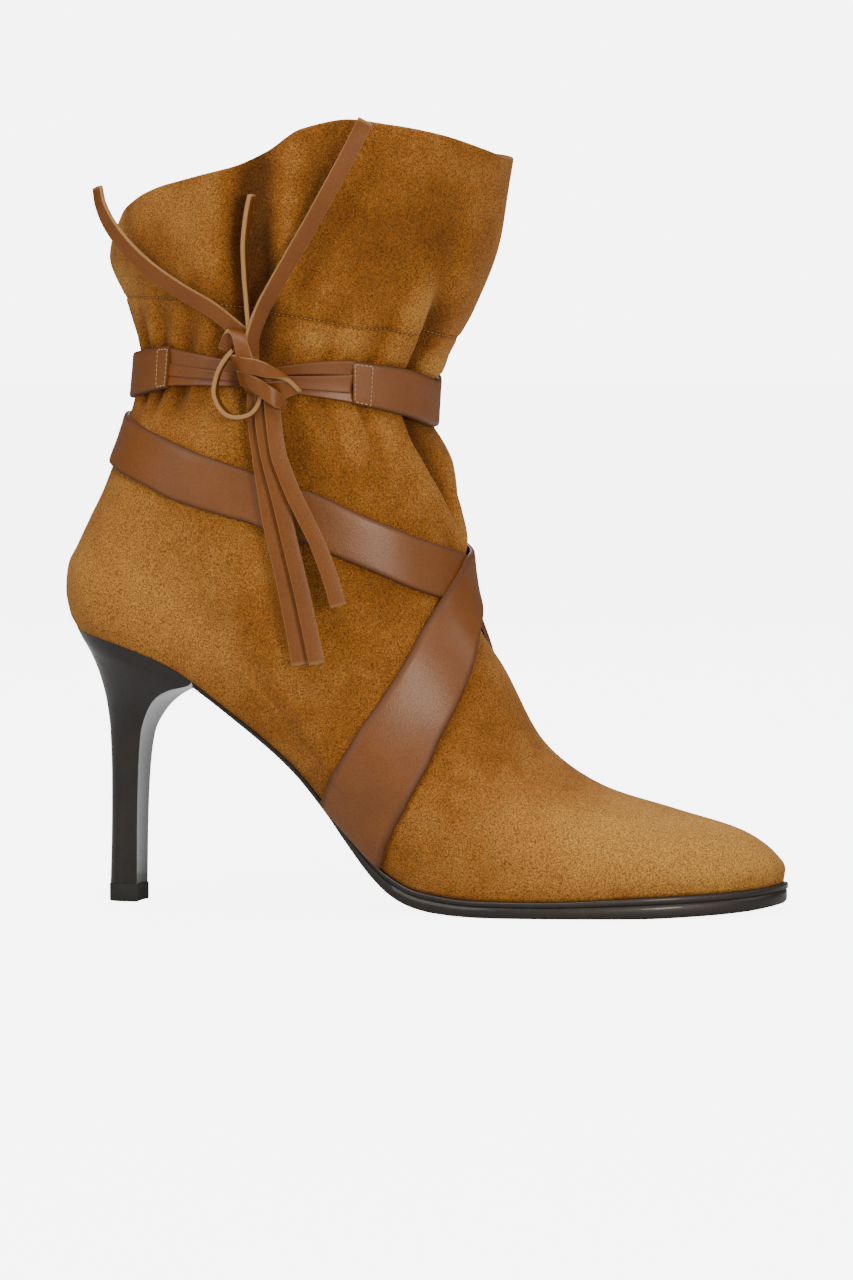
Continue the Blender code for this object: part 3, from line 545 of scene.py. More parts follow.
ARCH_FILL, ARCH_UP, ARCH_TALL, ARCH_WIDE = 0.28, 0.107, 0.032, 0.06
ARCH_SIDES = (0.24, 0.76)
HIDE_WAVES = (
    # height, waves around, waves up, start: slow unevenness of the hide
    (0.30, 3, 2.1, 0.0), (0.22, 7, -3.7, 0.3), (0.14, 12, 8.3, 0.6),
)
HIDE_WAVES_FROM = (0.50, 0.62)
STITCH_LINE = (
    # around, up of the stitched line below the collar
    (0.0, 0.822), (0.077, 0.8213), (0.158, 0.8192), (0.259, 0.797), (0.299, 0.790), (0.326, 0.782),
    (0.387, 0.778), (0.401, 0.775), (0.5, 0.772), (0.599, 0.775), (0.674, 0.782), (0.741, 0.797),
    (0.842, 0.8192), (0.923, 0.8213), (1.0, 0.822),
)
print("folds:", len(FOLDS), "gathers:", 2 * len(GATHERS))

# %% Height of the folds
CHECK_UP, CHECK_STEPS = 0.88, 400


def bell(distance, reach):
    """Bell curve: e to the power of minus the square of distance over reach."""
    return np.exp(-((distance / reach) ** 2))


def apart(around, centre):
    """Signed distance round the boot, by the shorter way."""
    return (around - centre + 0.5) % 1.0 - 0.5


def stitch_up(around):
    """Height of the stitched line below the collar."""
    return table_curve(STITCH_LINE, around % 1.0)


def belt_top(around):
    """Height of the belt's upper edge: one level with a dip at the front and one at the back."""
    return BELT_TOP - sum(deep * bell(apart(around, at), reach) for at, deep, reach in BELT_DIPS)


def pleat(around, up):
    """Trough with one steep and one slow side: a bell whose reach differs before and behind its deepest line.
    A low crest runs before it, and the trough is shallow at the very front."""
    edge = table_curve(PLEAT_PATH, up)
    beyond = around - edge - PLEAT_BEYOND
    filled = 1 - FRONT_FILL * bell(apart(around, 0.5), FRONT_REACH)
    trough = bell(beyond, np.where(beyond < 0, PLEAT_STEEP, PLEAT_SLOW)) * filled
    crest = bell(around - edge + CREST_BEFORE, CREST_REACH)
    along = ease(up, *PLEAT_GROWS) * (1 - ease(up, *PLEAT_FADES))
    return along * (CREST_HEIGHT * crest - PLEAT_DEPTH * trough)


def fold_height(around, up):
    """Distance of the suede from the last: sum of folds, gathers, two front pleats, the stitched groove, a
    slight fullness at the arch and a slow unevenness of the hide. Under the belt every ridge is pressed
    flat."""
    height = np.zeros(np.broadcast(around, up).shape)
    for low, high, reach, deep, up_from, up_to in FOLDS:
        along = np.clip((up - up_from) / (up_to - up_from), 0, 1)
        across = bell(apart(around, low + (high - low) * along), reach)
        height = height + deep * (4 * along * (1 - along)) ** FOLD_POWER * across
    span = np.clip((up - GATHER_SPAN[0]) / (GATHER_SPAN[1] - GATHER_SPAN[0]), 0, 1)
    arch = (4 * span * (1 - span)) ** GATHER_POWER
    for centre, lean, reach, deep in GATHERS:
        drift = lean * (up - BELT_MIDDLE) / LEAN_OVER
        height = height + deep * arch * bell(apart(around, centre + drift), reach)
        mirrored = 1.0 - centre - drift - GATHER_INNER_SHIFT
        height = height + GATHER_INNER * deep * arch * bell(apart(around, mirrored), reach)
    height = height + pleat(around, up) + pleat(1.0 - around, up)
    height = height - GROOVE_DEPTH * bell(up - stitch_up(around), GROOVE_REACH)
    arch_side = sum(bell(apart(around, side), ARCH_WIDE) for side in ARCH_SIDES)
    height = height + ARCH_FILL * arch_side * bell(up - ARCH_UP, ARCH_TALL)
    slow = sum(
        high * np.sin(2 * math.pi * (waves_around * around + waves_up * up + start))
        for high, waves_around, waves_up, start in HIDE_WAVES
    )
    height = height + slow * ease(up, *HIDE_WAVES_FROM)
    top = belt_top(around)
    pressed = ease(up, *PRESSED_FROM) * (1 - ease(up, top, top + PRESSED_FADE))
    return height - pressed * np.maximum(height - PRESSED_LEAVES, 0.0)


check_folds = fold_height(np.linspace(0, 1, CHECK_STEPS), np.full(CHECK_STEPS, CHECK_UP))
print("deepest fold at the collar", round(float(check_folds.min()), 2), "mm")

# %% [markdown]
# ## Upper
# The upper is one soft shell about two millimetres thick: suede outside, thin lining leather inside, and a
# raw rolled edge at the collar. We walk one grid up the outside, over the edge in a half circle and down
# the inside, so the shell is closed. The grid is fine enough that the folds are real shape and not a trick
# of the shader.

# %% Make the upper
BRUSHED_AND_LIT = (
    # around, up, reach round, reach up, lighter or darker: brushed nap, and painted highlights and shade such
    # as a lit fold and a lighter toe top
    (0.44, 0.07, 0.09, 0.09, 0.42),
    (0.07, 0.12, 0.10, 0.14, 0.26),
    (0.07, 0.38, 0.08, 0.08, 0.12),
    (0.38, 0.13, 0.06, 0.10, 0.22),
    (0.46, 0.20, 0.05, 0.08, 0.20),
    (0.30, 0.60, 0.06, 0.04, -0.16),
    (0.14, 0.90, 0.05, 0.06, -0.10),
    (0.13, 0.66, 0.05, 0.05, -0.28),
    (0.05, 0.85, 0.05, 0.04, 0.32),
    (0.31, 0.765, 0.03, 0.018, 0.26),
    (0.35, 0.64, 0.04, 0.03, 0.05),
    (0.41, 0.82, 0.03, 0.03, 0.22),
    (0.360, 0.90, 0.06, 0.07, -0.25),
    (0.275, 0.97, 0.02, 0.04, 0.08),
    (0.46, 0.735, 0.04, 0.02, 0.30),
)
OUTER_ROWS, RIM_ROWS, INNER_ROWS, COLUMNS = 212, 7, 60, 300
CLOSER_AT_ENDS = 0.35
WALL, RIM_ROLL, FEATHER_TUCK = 2.0, 0.7, 0.25
CREASE_RANGE = 7.0
around_even = np.arange(COLUMNS) / COLUMNS
around_line = around_even + CLOSER_AT_ENDS * np.sin(4 * math.pi * around_even) / (4 * math.pi)
outer_up = np.linspace(0.0, 1.0, OUTER_ROWS)
inner_up = np.linspace(1.0, 0.0, INNER_ROWS)
up_rows = np.concatenate((outer_up, np.ones(RIM_ROWS), inner_up))
half_turn = np.linspace(0.0, math.pi, RIM_ROWS + 2)[1:-1]
sink = np.concatenate((np.zeros(OUTER_ROWS), WALL / 2 * (1 - np.cos(half_turn)), np.full(INNER_ROWS, WALL)))
roll = np.concatenate((np.zeros(OUTER_ROWS), RIM_ROLL * np.sin(half_turn), np.zeros(INNER_ROWS)))
grid_up, grid_around = np.meshgrid(up_rows, around_line, indexing="ij")
grid_fold = fold_height(grid_around, grid_up)
skin = upper_offset(grid_around, grid_up, grid_fold - sink[:, None])
skin[..., 2] += roll[:, None]
skin[-1, :, 2] = feather_height(skin[-1, :, 0])
skin[(0, -1), :, 2] -= FEATHER_TUCK
upper_faces = quads(len(up_rows), COLUMNS, close_rows=True, close_columns=True)
# Fold height for the suede's colour: ridges rubbed lighter, and painted shade in the folds
crease = np.clip(0.5 + grid_fold / CREASE_RANGE, 0.0, 1.0)
# Patches of brushed nap, some of them painted highlight or painted shade
brush_and_light = sum(
    amount * bell(apart(grid_around, at), wide) * bell(grid_up - level, tall)
    for at, level, wide, tall, amount in BRUSHED_AND_LIT
)
suede_marks = {"crease": crease, "brush_and_light": brush_and_light, "from_stitch": grid_up - stitch_up(grid_around)}
suede_upper = add_piece("suede_upper", skin, upper_faces.tolist(), suede_marks)
lined = np.repeat(np.arange(len(up_rows)) >= OUTER_ROWS + RIM_ROWS - 1, COLUMNS)
suede_upper.data.polygons.foreach_set("material_index", lined.astype(np.int32))
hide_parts("upper")
print("upper faces:", len(upper_faces), "top", round(float(skin[..., 2].max()), 1), "mm")

# %% [markdown]
# ## Straps and belt
# The straps are smooth leather about one and a half millimetres thick with turned, darkened edges. A strap
# lies on the upper, so its two edges are lines on the upper's own surface and its face is the same surface,
# lifted. The belt is pulled tight across the hollow of the waist, so it runs straight from edge to edge
# instead.

# %% A band with eased edges
BAND_PROFILE = np.array((
    # share across, share of the thickness
    (0.0, 0.0), (0.0, 0.55), (0.012, 0.82), (0.04, 0.97), (0.10, 1.02), (0.25, 1.0), (0.5, 1.0),
    (0.75, 1.0), (0.90, 1.02), (0.96, 0.97), (0.988, 0.82), (1.0, 0.55), (1.0, 0.0),
    (0.75, 0.0), (0.5, 0.0), (0.25, 0.0),
))
FACE_LOW, FACE_MIDDLE, FACE_HIGH = 4, 6, 8
EDGE_WIDE = 0.10


def band_faces(stations, first=0):
    """Faces of a band: a closed tube with the band's profile as its ring."""
    return tube_faces(stations, len(BAND_PROFILE), first)


def band_edge(stations):
    """Mark that is 1 on a band's eased edges and 0 on its face."""
    share, high = BAND_PROFILE[:, 0], BAND_PROFILE[:, 1]
    near = np.minimum(share, 1 - share)
    return np.repeat(((1 - ease(near, 0.0, EDGE_WIDE)) * (high > 0))[None], stations, axis=0)


def laid_band(edge_a, edge_b, base, thick):
    """Band on the upper: between two lines of (around, up), lifted along the upper's normal by base plus the
    profile's share of the thickness."""
    place = edge_a[:, None, :] + (edge_b - edge_a)[:, None, :] * BAND_PROFILE[None, :, :1]
    lift = base[:, None] + thick * BAND_PROFILE[None, :, 1]
    return upper_offset(place[..., 0], place[..., 1], lift)


def tight_band(edge_a, edge_b, base, thick):
    """Band pulled straight between two lines of (around, up), lifted along the mean of their normals."""
    a, b = upper_surface(*edge_a.T), upper_surface(*edge_b.T)
    out = unit(upper_normal(*edge_a.T) + upper_normal(*edge_b.T))
    flat = a[:, None] + (b - a)[:, None] * BAND_PROFILE[None, :, :1]
    return flat + out[:, None] * (base + thick * BAND_PROFILE[None, :, 1:])


# %% Cross strap
STRAP_THICK, STRAP_GAP, STRAP_OVER, STRAP_STEPS = 1.5, 0.45, 1.85, 420
STRAP_ROWS = (
    # rear around, rear up, front around, front up, share of lying on the other end
    (0.2117, 0.008, 0.2403, 0.008, 0.0), (0.2214, 0.066, 0.2470, 0.048, 0.0),
    (0.2450, 0.186, 0.2572, 0.090, 0.0), (0.2756, 0.272, 0.2901, 0.189, 0.0),
    (0.3104, 0.340, 0.3438, 0.300, 0.0), (0.3600, 0.412, 0.3960, 0.374, 0.1),
    (0.4183, 0.476, 0.4500, 0.430, 1.0), (0.4531, 0.505, 0.4900, 0.458, 1.0),
    (0.4900, 0.527, 0.5300, 0.474, 1.0), (0.5300, 0.533, 0.5692, 0.480, 1.0),
    (0.5846, 0.539, 0.6150, 0.487, 1.0), (0.6567, 0.552, 0.6650, 0.498, 0.0),
    (0.7162, 0.565, 0.7200, 0.507, 0.0), (0.7627, 0.566, 0.7600, 0.506, 0.0),
    (0.8188, 0.553, 0.8178, 0.465, 0.0), (0.8826, 0.547, 0.8700, 0.428, 0.0),
    (0.9400, 0.555, 0.9300, 0.416, 0.0), (1.0000, 0.560, 1.0000, 0.418, 0.0),
)
first_half = np.array(STRAP_ROWS)
second_half = first_half[-2::-1].copy()
second_half[:, (0, 2)] = 2.0 - second_half[:, (0, 2)]
second_half[:, 4] = 0.0
strap_knots = np.concatenate((first_half, second_half))
strap_at = np.linspace(0.0, len(strap_knots) - 1.0, STRAP_STEPS)
strap_line = smooth_through(np.arange(len(strap_knots)), strap_knots, strap_at)
strap_base = STRAP_GAP + STRAP_OVER * strap_line[:, 4]
strap = laid_band(strap_line[:, 0:2], strap_line[:, 2:4], strap_base, STRAP_THICK)
strap_marks = {"edge": band_edge(STRAP_STEPS)}
cross_strap = add_piece("leather_cross_strap", strap, band_faces(STRAP_STEPS), strap_marks)
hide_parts("cross_strap")
leather_pieces = [cross_strap]
print("cross strap length", round(float(run_along(strap[:, FACE_MIDDLE])[-1])), "mm")

# %% Waist belt
BELT_THICK, BELT_GAP, BELT_STEPS = 1.8, 0.45, 300
FRONT_TUCK, TUCK_REACH = 2.2, 0.07
BELT_ROWS = (
    # low around, low up, high around, high up
    (0.3530, 0.675, 0.3450, 0.733), (0.4200, 0.667, 0.4200, 0.726), (0.5000, 0.656, 0.5000, 0.713),
    (0.5800, 0.664, 0.5800, 0.724), (0.6600, 0.672, 0.6600, 0.733), (0.7500, 0.674, 0.7500, 0.739),
    (0.8500, 0.662, 0.8500, 0.739), (0.9200, 0.634, 0.9200, 0.731), (1.0000, 0.606, 1.0000, 0.719),
    (1.0600, 0.622, 1.0600, 0.724), (1.1338, 0.660, 1.1440, 0.738),
)
belt_at = np.linspace(0, len(BELT_ROWS) - 1, BELT_STEPS)
belt_line = smooth_through(np.arange(len(BELT_ROWS)), np.array(BELT_ROWS), belt_at)
belt = tight_band(belt_line[:, 0:2], belt_line[:, 2:4], BELT_GAP, BELT_THICK)
tuck = bell(belt_line[:, 0] - 0.5, TUCK_REACH)
belt[..., 0] -= FRONT_TUCK * tuck[:, None] * (1.0 - BAND_PROFILE[None, :, 0])
belt_faces = [face[::-1] for face in band_faces(BELT_STEPS)]
waist_belt = add_piece("leather_waist_belt", belt, belt_faces, {"edge": band_edge(BELT_STEPS)})
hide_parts("waist_belt")
leather_pieces.append(waist_belt)
print("belt length", round(float(run_along(belt[:, FACE_MIDDLE])[-1])), "mm")

# %% [markdown]
# ## Strips behind the knot
# At each end the belt is cut into three thongs. They come out from under the stitched tab, close up as they
# are pulled together and vanish behind the knot. They are bands on the upper too, each lifted a little
# differently so that they lie over one another as the real ones do.

# %% Tie strips
STRIPS = (
    # node, then for each strip: around, low and high edge at the tab and at the knot, two lifts, bow
    ("tie_strips_left", (
        (0.1336, 0.661, 0.686, 0.232, 0.682, 0.692, 0.5, 1.0, 0.7),
        (0.1367, 0.684, 0.711, 0.232, 0.690, 0.704, 0.9, 2.0, 0.8),
        (0.1400, 0.708, 0.737, 0.232, 0.702, 0.722, 0.5, 1.4, 0.9),
    )),
    ("tie_strips_right", (
        (0.3537, 0.675, 0.694, 0.240, 0.682, 0.690, 0.5, 1.6, 0.7),
        (0.3514, 0.688, 0.717, 0.240, 0.687, 0.702, 1.0, 2.4, 0.9),
        (0.3487, 0.714, 0.735, 0.240, 0.700, 0.707, 0.7, 2.0, 1.9),
    )),
)
STRIP_STEPS, STRIP_THICK, STRIP_EDGE = 40, 1.2, 0.6
for node, strips in STRIPS:
    points, faces, marks = [], [], []
    for number, (start, low, high, end, low_end, high_end, lift, lift_end, bow) in enumerate(strips):
        share = np.linspace(0.0, 1.0, STRIP_STEPS)
        drawn = share**bow
        round_at = start + (end - start) * share
        edge_low = np.stack((round_at, low + (low_end - low) * drawn), axis=-1)
        edge_high = np.stack((round_at, high + (high_end - high) * drawn), axis=-1)
        strip_lift = lift + (lift_end - lift) * share
        points.append(laid_band(edge_low, edge_high, strip_lift, STRIP_THICK).reshape(-1, 3))
        strip_faces = band_faces(STRIP_STEPS, first=number * STRIP_STEPS * len(BAND_PROFILE))
        faces += strip_faces if end < start else [face[::-1] for face in strip_faces]
        marks.append(STRIP_EDGE * band_edge(STRIP_STEPS).ravel())
    side = node.removeprefix("tie_strips_")
    comb = add_piece("strips_" + side, np.concatenate(points), faces, {"edge": np.concatenate(marks)})
    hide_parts(node)
    leather_pieces.append(comb)
print("tie strips:", sum(len(strips) for _, strips in STRIPS))

# %% [markdown]
# ## Stitches
# A row of stitches holds the collar's facing, and each tab of the belt is sewn down with a small box of
# stitches. One stitch is a short spindle of thread, half sunk in the leather. A dashed texture would look
# flat from close by, so every stitch is a shape of its own with a few dozen faces, all made in one go.

# %% Sew the stitches
SPINDLE_RINGS, SPINDLE_SIDES = 6, 6
SPINDLE_POINTS = SPINDLE_RINGS * SPINDLE_SIDES
SPINDLE_FULL, SPINDLE_THINNEST = 1.05, 0.02
SPINDLE_CAPS = ((5, 4, 3, 2), (5, 2, 1, 0), (30, 31, 32, 33), (30, 33, 34, 35))
SEAM_PITCH, SEAM_LONG, SEAM_RADIUS, SEAM_LIFT, SEAM_STEPS = 1.5, 1.05, 0.20, 0.1, 900
TAB_PITCH, TAB_LONG, TAB_RADIUS, TAB_STEPS = 1.5, 1.15, 0.22, 30
LOOK_AHEAD = 0.3


def spindles(middles, along, out, long, radius):
    """Spindles of thread: each runs half its length both ways from its middle, with a round section that
    thins out towards the ends as the root of about one minus the square of the way along."""
    way = np.linspace(-1.0, 1.0, SPINDLE_RINGS)[None, :, None, None]
    turn = (np.arange(SPINDLE_SIDES) * 2 * math.pi / SPINDLE_SIDES)[None, None, :, None]
    thin = radius * np.sqrt(np.maximum(SPINDLE_FULL - way**2, SPINDLE_THINNEST))
    along, out = unit(along)[:, None, None], unit(out)[:, None, None]
    beside = np.cross(along, out)
    section = thin * (out * np.sin(turn) + beside * np.cos(turn))
    points = middles[:, None, None] + along * way * long / 2 + section
    one = np.concatenate((quads(SPINDLE_RINGS, SPINDLE_SIDES, close_columns=True), SPINDLE_CAPS))
    faces = (np.arange(len(middles))[:, None, None] * SPINDLE_POINTS + one[None]).reshape(-1, 4)
    return points.reshape(-1, 3), faces[:, ::-1].tolist()


def even_along(points, pitch):
    """Places at an even pitch along a line of points, with the direction of the line there."""
    run = run_along(points)
    at = np.arange(pitch / 2, run[-1], pitch)
    spots = read_along(points, run, at)
    return spots, read_along(points, run, at + LOOK_AHEAD) - spots, at / run[-1]


seam_around = np.linspace(0.0, 1.0, SEAM_STEPS)
seam_up = stitch_up(seam_around)
seam = upper_offset(seam_around, seam_up, fold_height(seam_around, seam_up) + SEAM_LIFT)
spots, ahead, where = even_along(seam, SEAM_PITCH)
points, faces = spindles(spots, ahead, upper_normal(where, stitch_up(where)), SEAM_LONG, SEAM_RADIUS)
collar_stitches = add_piece("collar_stitches", points, faces)
TAB_BOXES = (
    # stations of the belt at the two sides of the box, shares across at its bottom and top
    (292.4, 298.2, -0.04, 1.04),
    (0.9, 9.2, -0.04, 1.05),
)
tab_points, tab_faces = [], []
for near, far, low, high in TAB_BOXES:
    loop = np.array(((near, low), (far, low), (far, high), (near, high), (near, low)))
    loop = np.concatenate([np.linspace(a, b, TAB_STEPS) for a, b in zip(loop[:-1], loop[1:])])
    station = np.clip(loop[:, 0], 0, BELT_STEPS - 1.001)
    k = station.astype(int)
    blend = (station - k)[:, None]
    edge_a, edge_b = (belt[k, f] * (1 - blend) + belt[k + 1, f] * blend for f in (FACE_LOW, FACE_HIGH))
    line = edge_a + (edge_b - edge_a) * loop[:, 1:]
    facing = unit(belt[k, FACE_LOW] - belt[k, 0])
    spots, ahead, where = even_along(line, TAB_PITCH)
    out = facing[np.minimum((where * len(facing)).astype(int), len(facing) - 1)]
    points, faces = spindles(spots, ahead, out, TAB_LONG, TAB_RADIUS)
    tab_faces += (np.array(faces) + sum(len(p) for p in tab_points)).tolist()
    tab_points.append(points)
tab_stitches = add_piece("belt_tab_stitches", np.concatenate(tab_points), tab_faces)
stitch_counts = [len(sewn.data.vertices) // SPINDLE_POINTS for sewn in (collar_stitches, tab_stitches)]
print("stitches at the collar and the tabs:", stitch_counts)

# %% [markdown]
# ## Sole, heel and insole
# A thin leather sole follows the last from the toe to the heel's front edge, with a fine lip along its top.
# The slim heel is a covered block whose front is slightly hollow, on a small rubber lift. Each is a stack
# of rings: a plan outline, moved in or out and raised level by level, and closed across at the bottom and
# the top.

# %% Stack rings into solids
SOLE_DROP, SOLE_JOINT, HEEL_FRONT = 0.3, 0.15, 47.4


def sole_outline(around, grow):
    """Points on the sole line, moved outwards in plan by a distance at right angles to the line."""
    step = 0.001
    here = upper_surface(around, 0.0)
    ahead = upper_surface(around + step, 0.0) - upper_surface(around - step, 0.0)
    out = unit(np.stack((ahead[..., 1], -ahead[..., 0]), axis=-1))
    here[..., :2] += out * np.asarray(grow, float)[..., None]
    return here


def stacked(rings):
    """Faces of a solid through rings that each run along one side and back along the other."""
    levels, count = rings.shape[:2]
    faces = quads(levels, count, close_columns=True).tolist()
    i = np.arange(count // 2 - 1)
    across = np.stack((i, i + 1, count - 2 - i, count - 1 - i), axis=-1)
    return faces + across[:, ::-1].tolist() + ((levels - 1) * count + across).tolist()


def around_at(x):
    """Place round the boot on the outer side where the sole line reaches x."""
    share = (x - FEATHER_LINE[0][0]) / (FEATHER_LINE[-1][0] - FEATHER_LINE[0][0])
    return math.acos(1.0 - 2.0 * share) / (2.0 * math.pi)


# %% Outsole
SOLE_UNDERSIDE = (
    # x, z
    (46.0, 74.0), (59.0, 64.2), (80.0, 46.6), (92.0, 32.6), (100.0, 21.8), (108.0, 12.2), (115.0, 6.2),
    (122.0, 2.8), (130.0, 1.0), (140.0, 0.2), (148.0, 0.0), (198.0, 0.0), (215.0, 0.6), (230.0, 1.7),
    (240.0, 3.4), (243.0, 4.4),
)
SOLE_REACH = (
    # x, reach past the upper
    (46.0, 0.1), (95.0, 0.2), (122.0, 0.9), (165.0, 1.2), (243.0, 1.1),
)
SOLE_SIDE = (
    # share of the thickness from the bottom, step in or out
    (0.0, -2.4), (0.0, -1.0), (0.06, -0.35), (0.16, 0.0), (0.40, 0.05), (0.62, 0.0), (0.66, -0.25),
    (0.70, 0.15), (0.75, 0.4), (0.90, 0.42), (0.97, 0.25), (1.0, -0.2), (1.0, -1.6),
)
SOLE_STEPS, SOLE_CLOSER = 260, 0.02
sole_start = around_at(HEEL_FRONT)
sole_even = np.linspace(sole_start, 1.0 - sole_start, SOLE_STEPS)
sole_way = (sole_even - sole_start) / (1 - 2 * sole_start)
sole_turn = sole_even + SOLE_CLOSER * np.sin(4 * math.pi * sole_way)
sole_reach = table_curve(SOLE_REACH, upper_surface(sole_turn, 0.0)[:, 0])
sole_rings = np.array([sole_outline(sole_turn, sole_reach + step) for step in column(SOLE_SIDE, 1)])
sole_rings[:, (0, -1), 0] = HEEL_FRONT + SOLE_JOINT
sole_under = table_curve(SOLE_UNDERSIDE, sole_rings[..., 0])
sole_over = feather_height(sole_rings[..., 0]) - SOLE_DROP
sole_rings[..., 2] = sole_under + (sole_over - sole_under) * column(SOLE_SIDE, 0)[:, None]
leather_outsole = add_piece("leather_outsole", sole_rings, stacked(sole_rings))
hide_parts("outsole")
print("outsole runs over", np.round((sole_rings[..., 0].min(), sole_rings[..., 0].max()), 1).tolist(), "mm")

# %% Heel and lift
HEEL_RINGS = (
    # back x, back z, front x, front z, half, back round
    (12.1, 5.9, 22.9, 5.9, 6.4, 6.5), (12.6, 25.0, 23.1, 25.0, 6.7, 6.8),
    (12.7, 43.0, 23.7, 43.0, 7.3, 7.4), (12.3, 57.0, 25.0, 56.0, 8.8, 9.0),
    (11.2, 67.0, 28.0, 63.5, 12.0, 12.5), (9.1, 76.0, 32.2, 68.4, 16.6, 17.5),
    (6.0, 84.0, 38.2, 71.6, 21.0, 22.5), (3.0, 89.4, 46.2, 73.6, 24.2, 25.5),
)
HEEL_LEVELS, SEAT_STEPS = 72, 81
BREAST_STEPS, BREAST_HOLLOW, HOLLOW_FADES = 22, 0.5, 14
LIFT_STEPS = np.array((
    # height, size as a share of the heel's lowest ring
    (0.0, 0.985), (0.0, 1.03), (0.4, 1.05), (5.4, 1.05), (5.85, 1.03), (5.85, 0.96),
))
seat_turn = np.linspace(-sole_start, sole_start, SEAT_STEPS)
heel_share = (1.0 - np.cos(2.0 * math.pi * seat_turn)) / (1.0 - math.cos(2.0 * math.pi * sole_start))
rings = np.array(HEEL_RINGS)[:, :, None]
ring_x = rings[:, 0] + (rings[:, 2] - rings[:, 0]) * heel_share
ring_y = -np.sign(seat_turn) * rings[:, 4] * rounding(ring_x - rings[:, 0], rings[:, 5], BACK_POWER)
ring_z = rings[:, 1] + (rings[:, 3] - rings[:, 1]) * heel_share
heel_knots = np.stack((ring_x, ring_y, ring_z), axis=-1)
seat = sole_outline(seat_turn, np.full(len(seat_turn), SOLE_REACH[0][1]))
seat[(0, -1), 0] = HEEL_FRONT - SOLE_JOINT
seat[:, 2] = feather_height(seat[:, 0]) - SOLE_DROP
heel_knots = np.concatenate((heel_knots, seat[None]))
level_knots = heel_knots[..., 2].mean(axis=1)
heel_levels = np.linspace(level_knots[0], level_knots[-1], HEEL_LEVELS)
heel_rings = smooth_through(level_knots, heel_knots, heel_levels)
breast_way = np.linspace(1.0, -1.0, BREAST_STEPS)[1:-1]
breast_share = (0.5 + breast_way / 2)[None, :, None]
breast = heel_rings[:, -1:] * breast_share + heel_rings[:, :1] * (1 - breast_share)
hollow_left = 1 - ease(np.arange(HEEL_LEVELS), HEEL_LEVELS - HOLLOW_FADES, HEEL_LEVELS - 1)
breast[..., 0] -= BREAST_HOLLOW * (1.0 - breast_way**2) * hollow_left[:, None]
heel_loops = np.concatenate((heel_rings, breast), axis=1)
heel_count = heel_loops.shape[1]
covered_heel = add_piece("covered_heel", heel_loops, tube_faces(HEEL_LEVELS, heel_count))
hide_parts("heel")
lift_middle = heel_loops[0, :, :2].mean(axis=0)
lift_loops = np.repeat(heel_loops[:1], len(LIFT_STEPS), axis=0)
lift_loops[..., :2] = lift_middle + (lift_loops[..., :2] - lift_middle) * LIFT_STEPS[:, 1][:, None, None]
lift_loops[..., 2] = LIFT_STEPS[:, :1]
rubber_lift = add_piece("rubber_lift", lift_loops, tube_faces(len(LIFT_STEPS), heel_count))
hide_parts("top_lift")
print("heel", HEEL_LEVELS, "levels, lift", round(float(lift_loops[..., 2].max()), 2), "mm")

# %% Insole
INSOLE_SIDE, INSOLE_END = 130, 0.004
INSOLE_STEPS = (
    # height over the sole line, step in or out
    (0.1, -3.2), (1.2, -2.9), (2.0, -3.1), (2.4, -3.9), (2.5, -6.0),
)
insole_half = np.linspace(INSOLE_END, 0.5 - INSOLE_END, INSOLE_SIDE)
insole_turn = np.concatenate((insole_half, 0.5 + insole_half))
insole_grow = np.repeat(column(INSOLE_STEPS, 1)[:, None], 2 * INSOLE_SIDE, axis=1)
insole_rings = np.array([sole_outline(insole_turn, grow) for grow in insole_grow])
insole_rings[..., 2] = feather_height(insole_rings[..., 0]) + column(INSOLE_STEPS, 0)[:, None]
insole_sock = add_piece("insole_sock", insole_rings, stacked(insole_rings))
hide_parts("insole")
print("insole points:", len(insole_sock.data.vertices))

# %% [markdown]
# ## Shared finishes
# Two effects come back on several pieces, so each is a node group: a fine grain, from tiny pits and a finer
# noise, and a patchy tone, from slow noise, for hide that took the dye unevenly. A group only gives values.
# Each material keeps its own shader and decides what those values do to colour, roughness and bump.

# %% Node groups for grain and tone


def new_group(name, inputs, outputs):
    """Node group with named inputs, their kinds and first values, and named outputs that are numbers."""
    group = bpy.data.node_groups.new(name, "ShaderNodeTree")
    for label, kind, value in inputs:
        socket = group.interface.new_socket(label, in_out="INPUT", socket_type=kind)
        if value is not None:
            socket.default_value = value
    for label in outputs:
        group.interface.new_socket(label, in_out="OUTPUT", socket_type="NodeSocketFloat")
    return group, group.nodes.new("NodeGroupInput"), group.nodes.new("NodeGroupOutput")


def fill_socket(tree, socket, value):
    """A number or a colour becomes the socket's own value, and another node's output is linked to it."""
    if isinstance(value, (int, float)):
        socket.default_value = value
    elif isinstance(value, tuple):
        socket.default_value = (*value, 1.0)
    else:
        tree.links.new(value, socket)


def math_node(tree, kind, first, second):
    """Math node on two inputs, each a number or another node's output."""
    node = tree.nodes.new("ShaderNodeMath")
    node.operation = kind
    for socket, value in zip(node.inputs, (first, second)):
        fill_socket(tree, socket, value)
    return node.outputs[0]


def noise(tree, place, scale, detail, roughness):
    """Noise texture at a place, with so many cells per metre."""
    node = tree.nodes.new("ShaderNodeTexNoise")
    node.inputs["Detail"].default_value = detail
    node.inputs["Roughness"].default_value = roughness
    tree.links.new(place, node.inputs["Vector"])
    fill_socket(tree, node.inputs["Scale"], scale)
    return node.outputs[0]


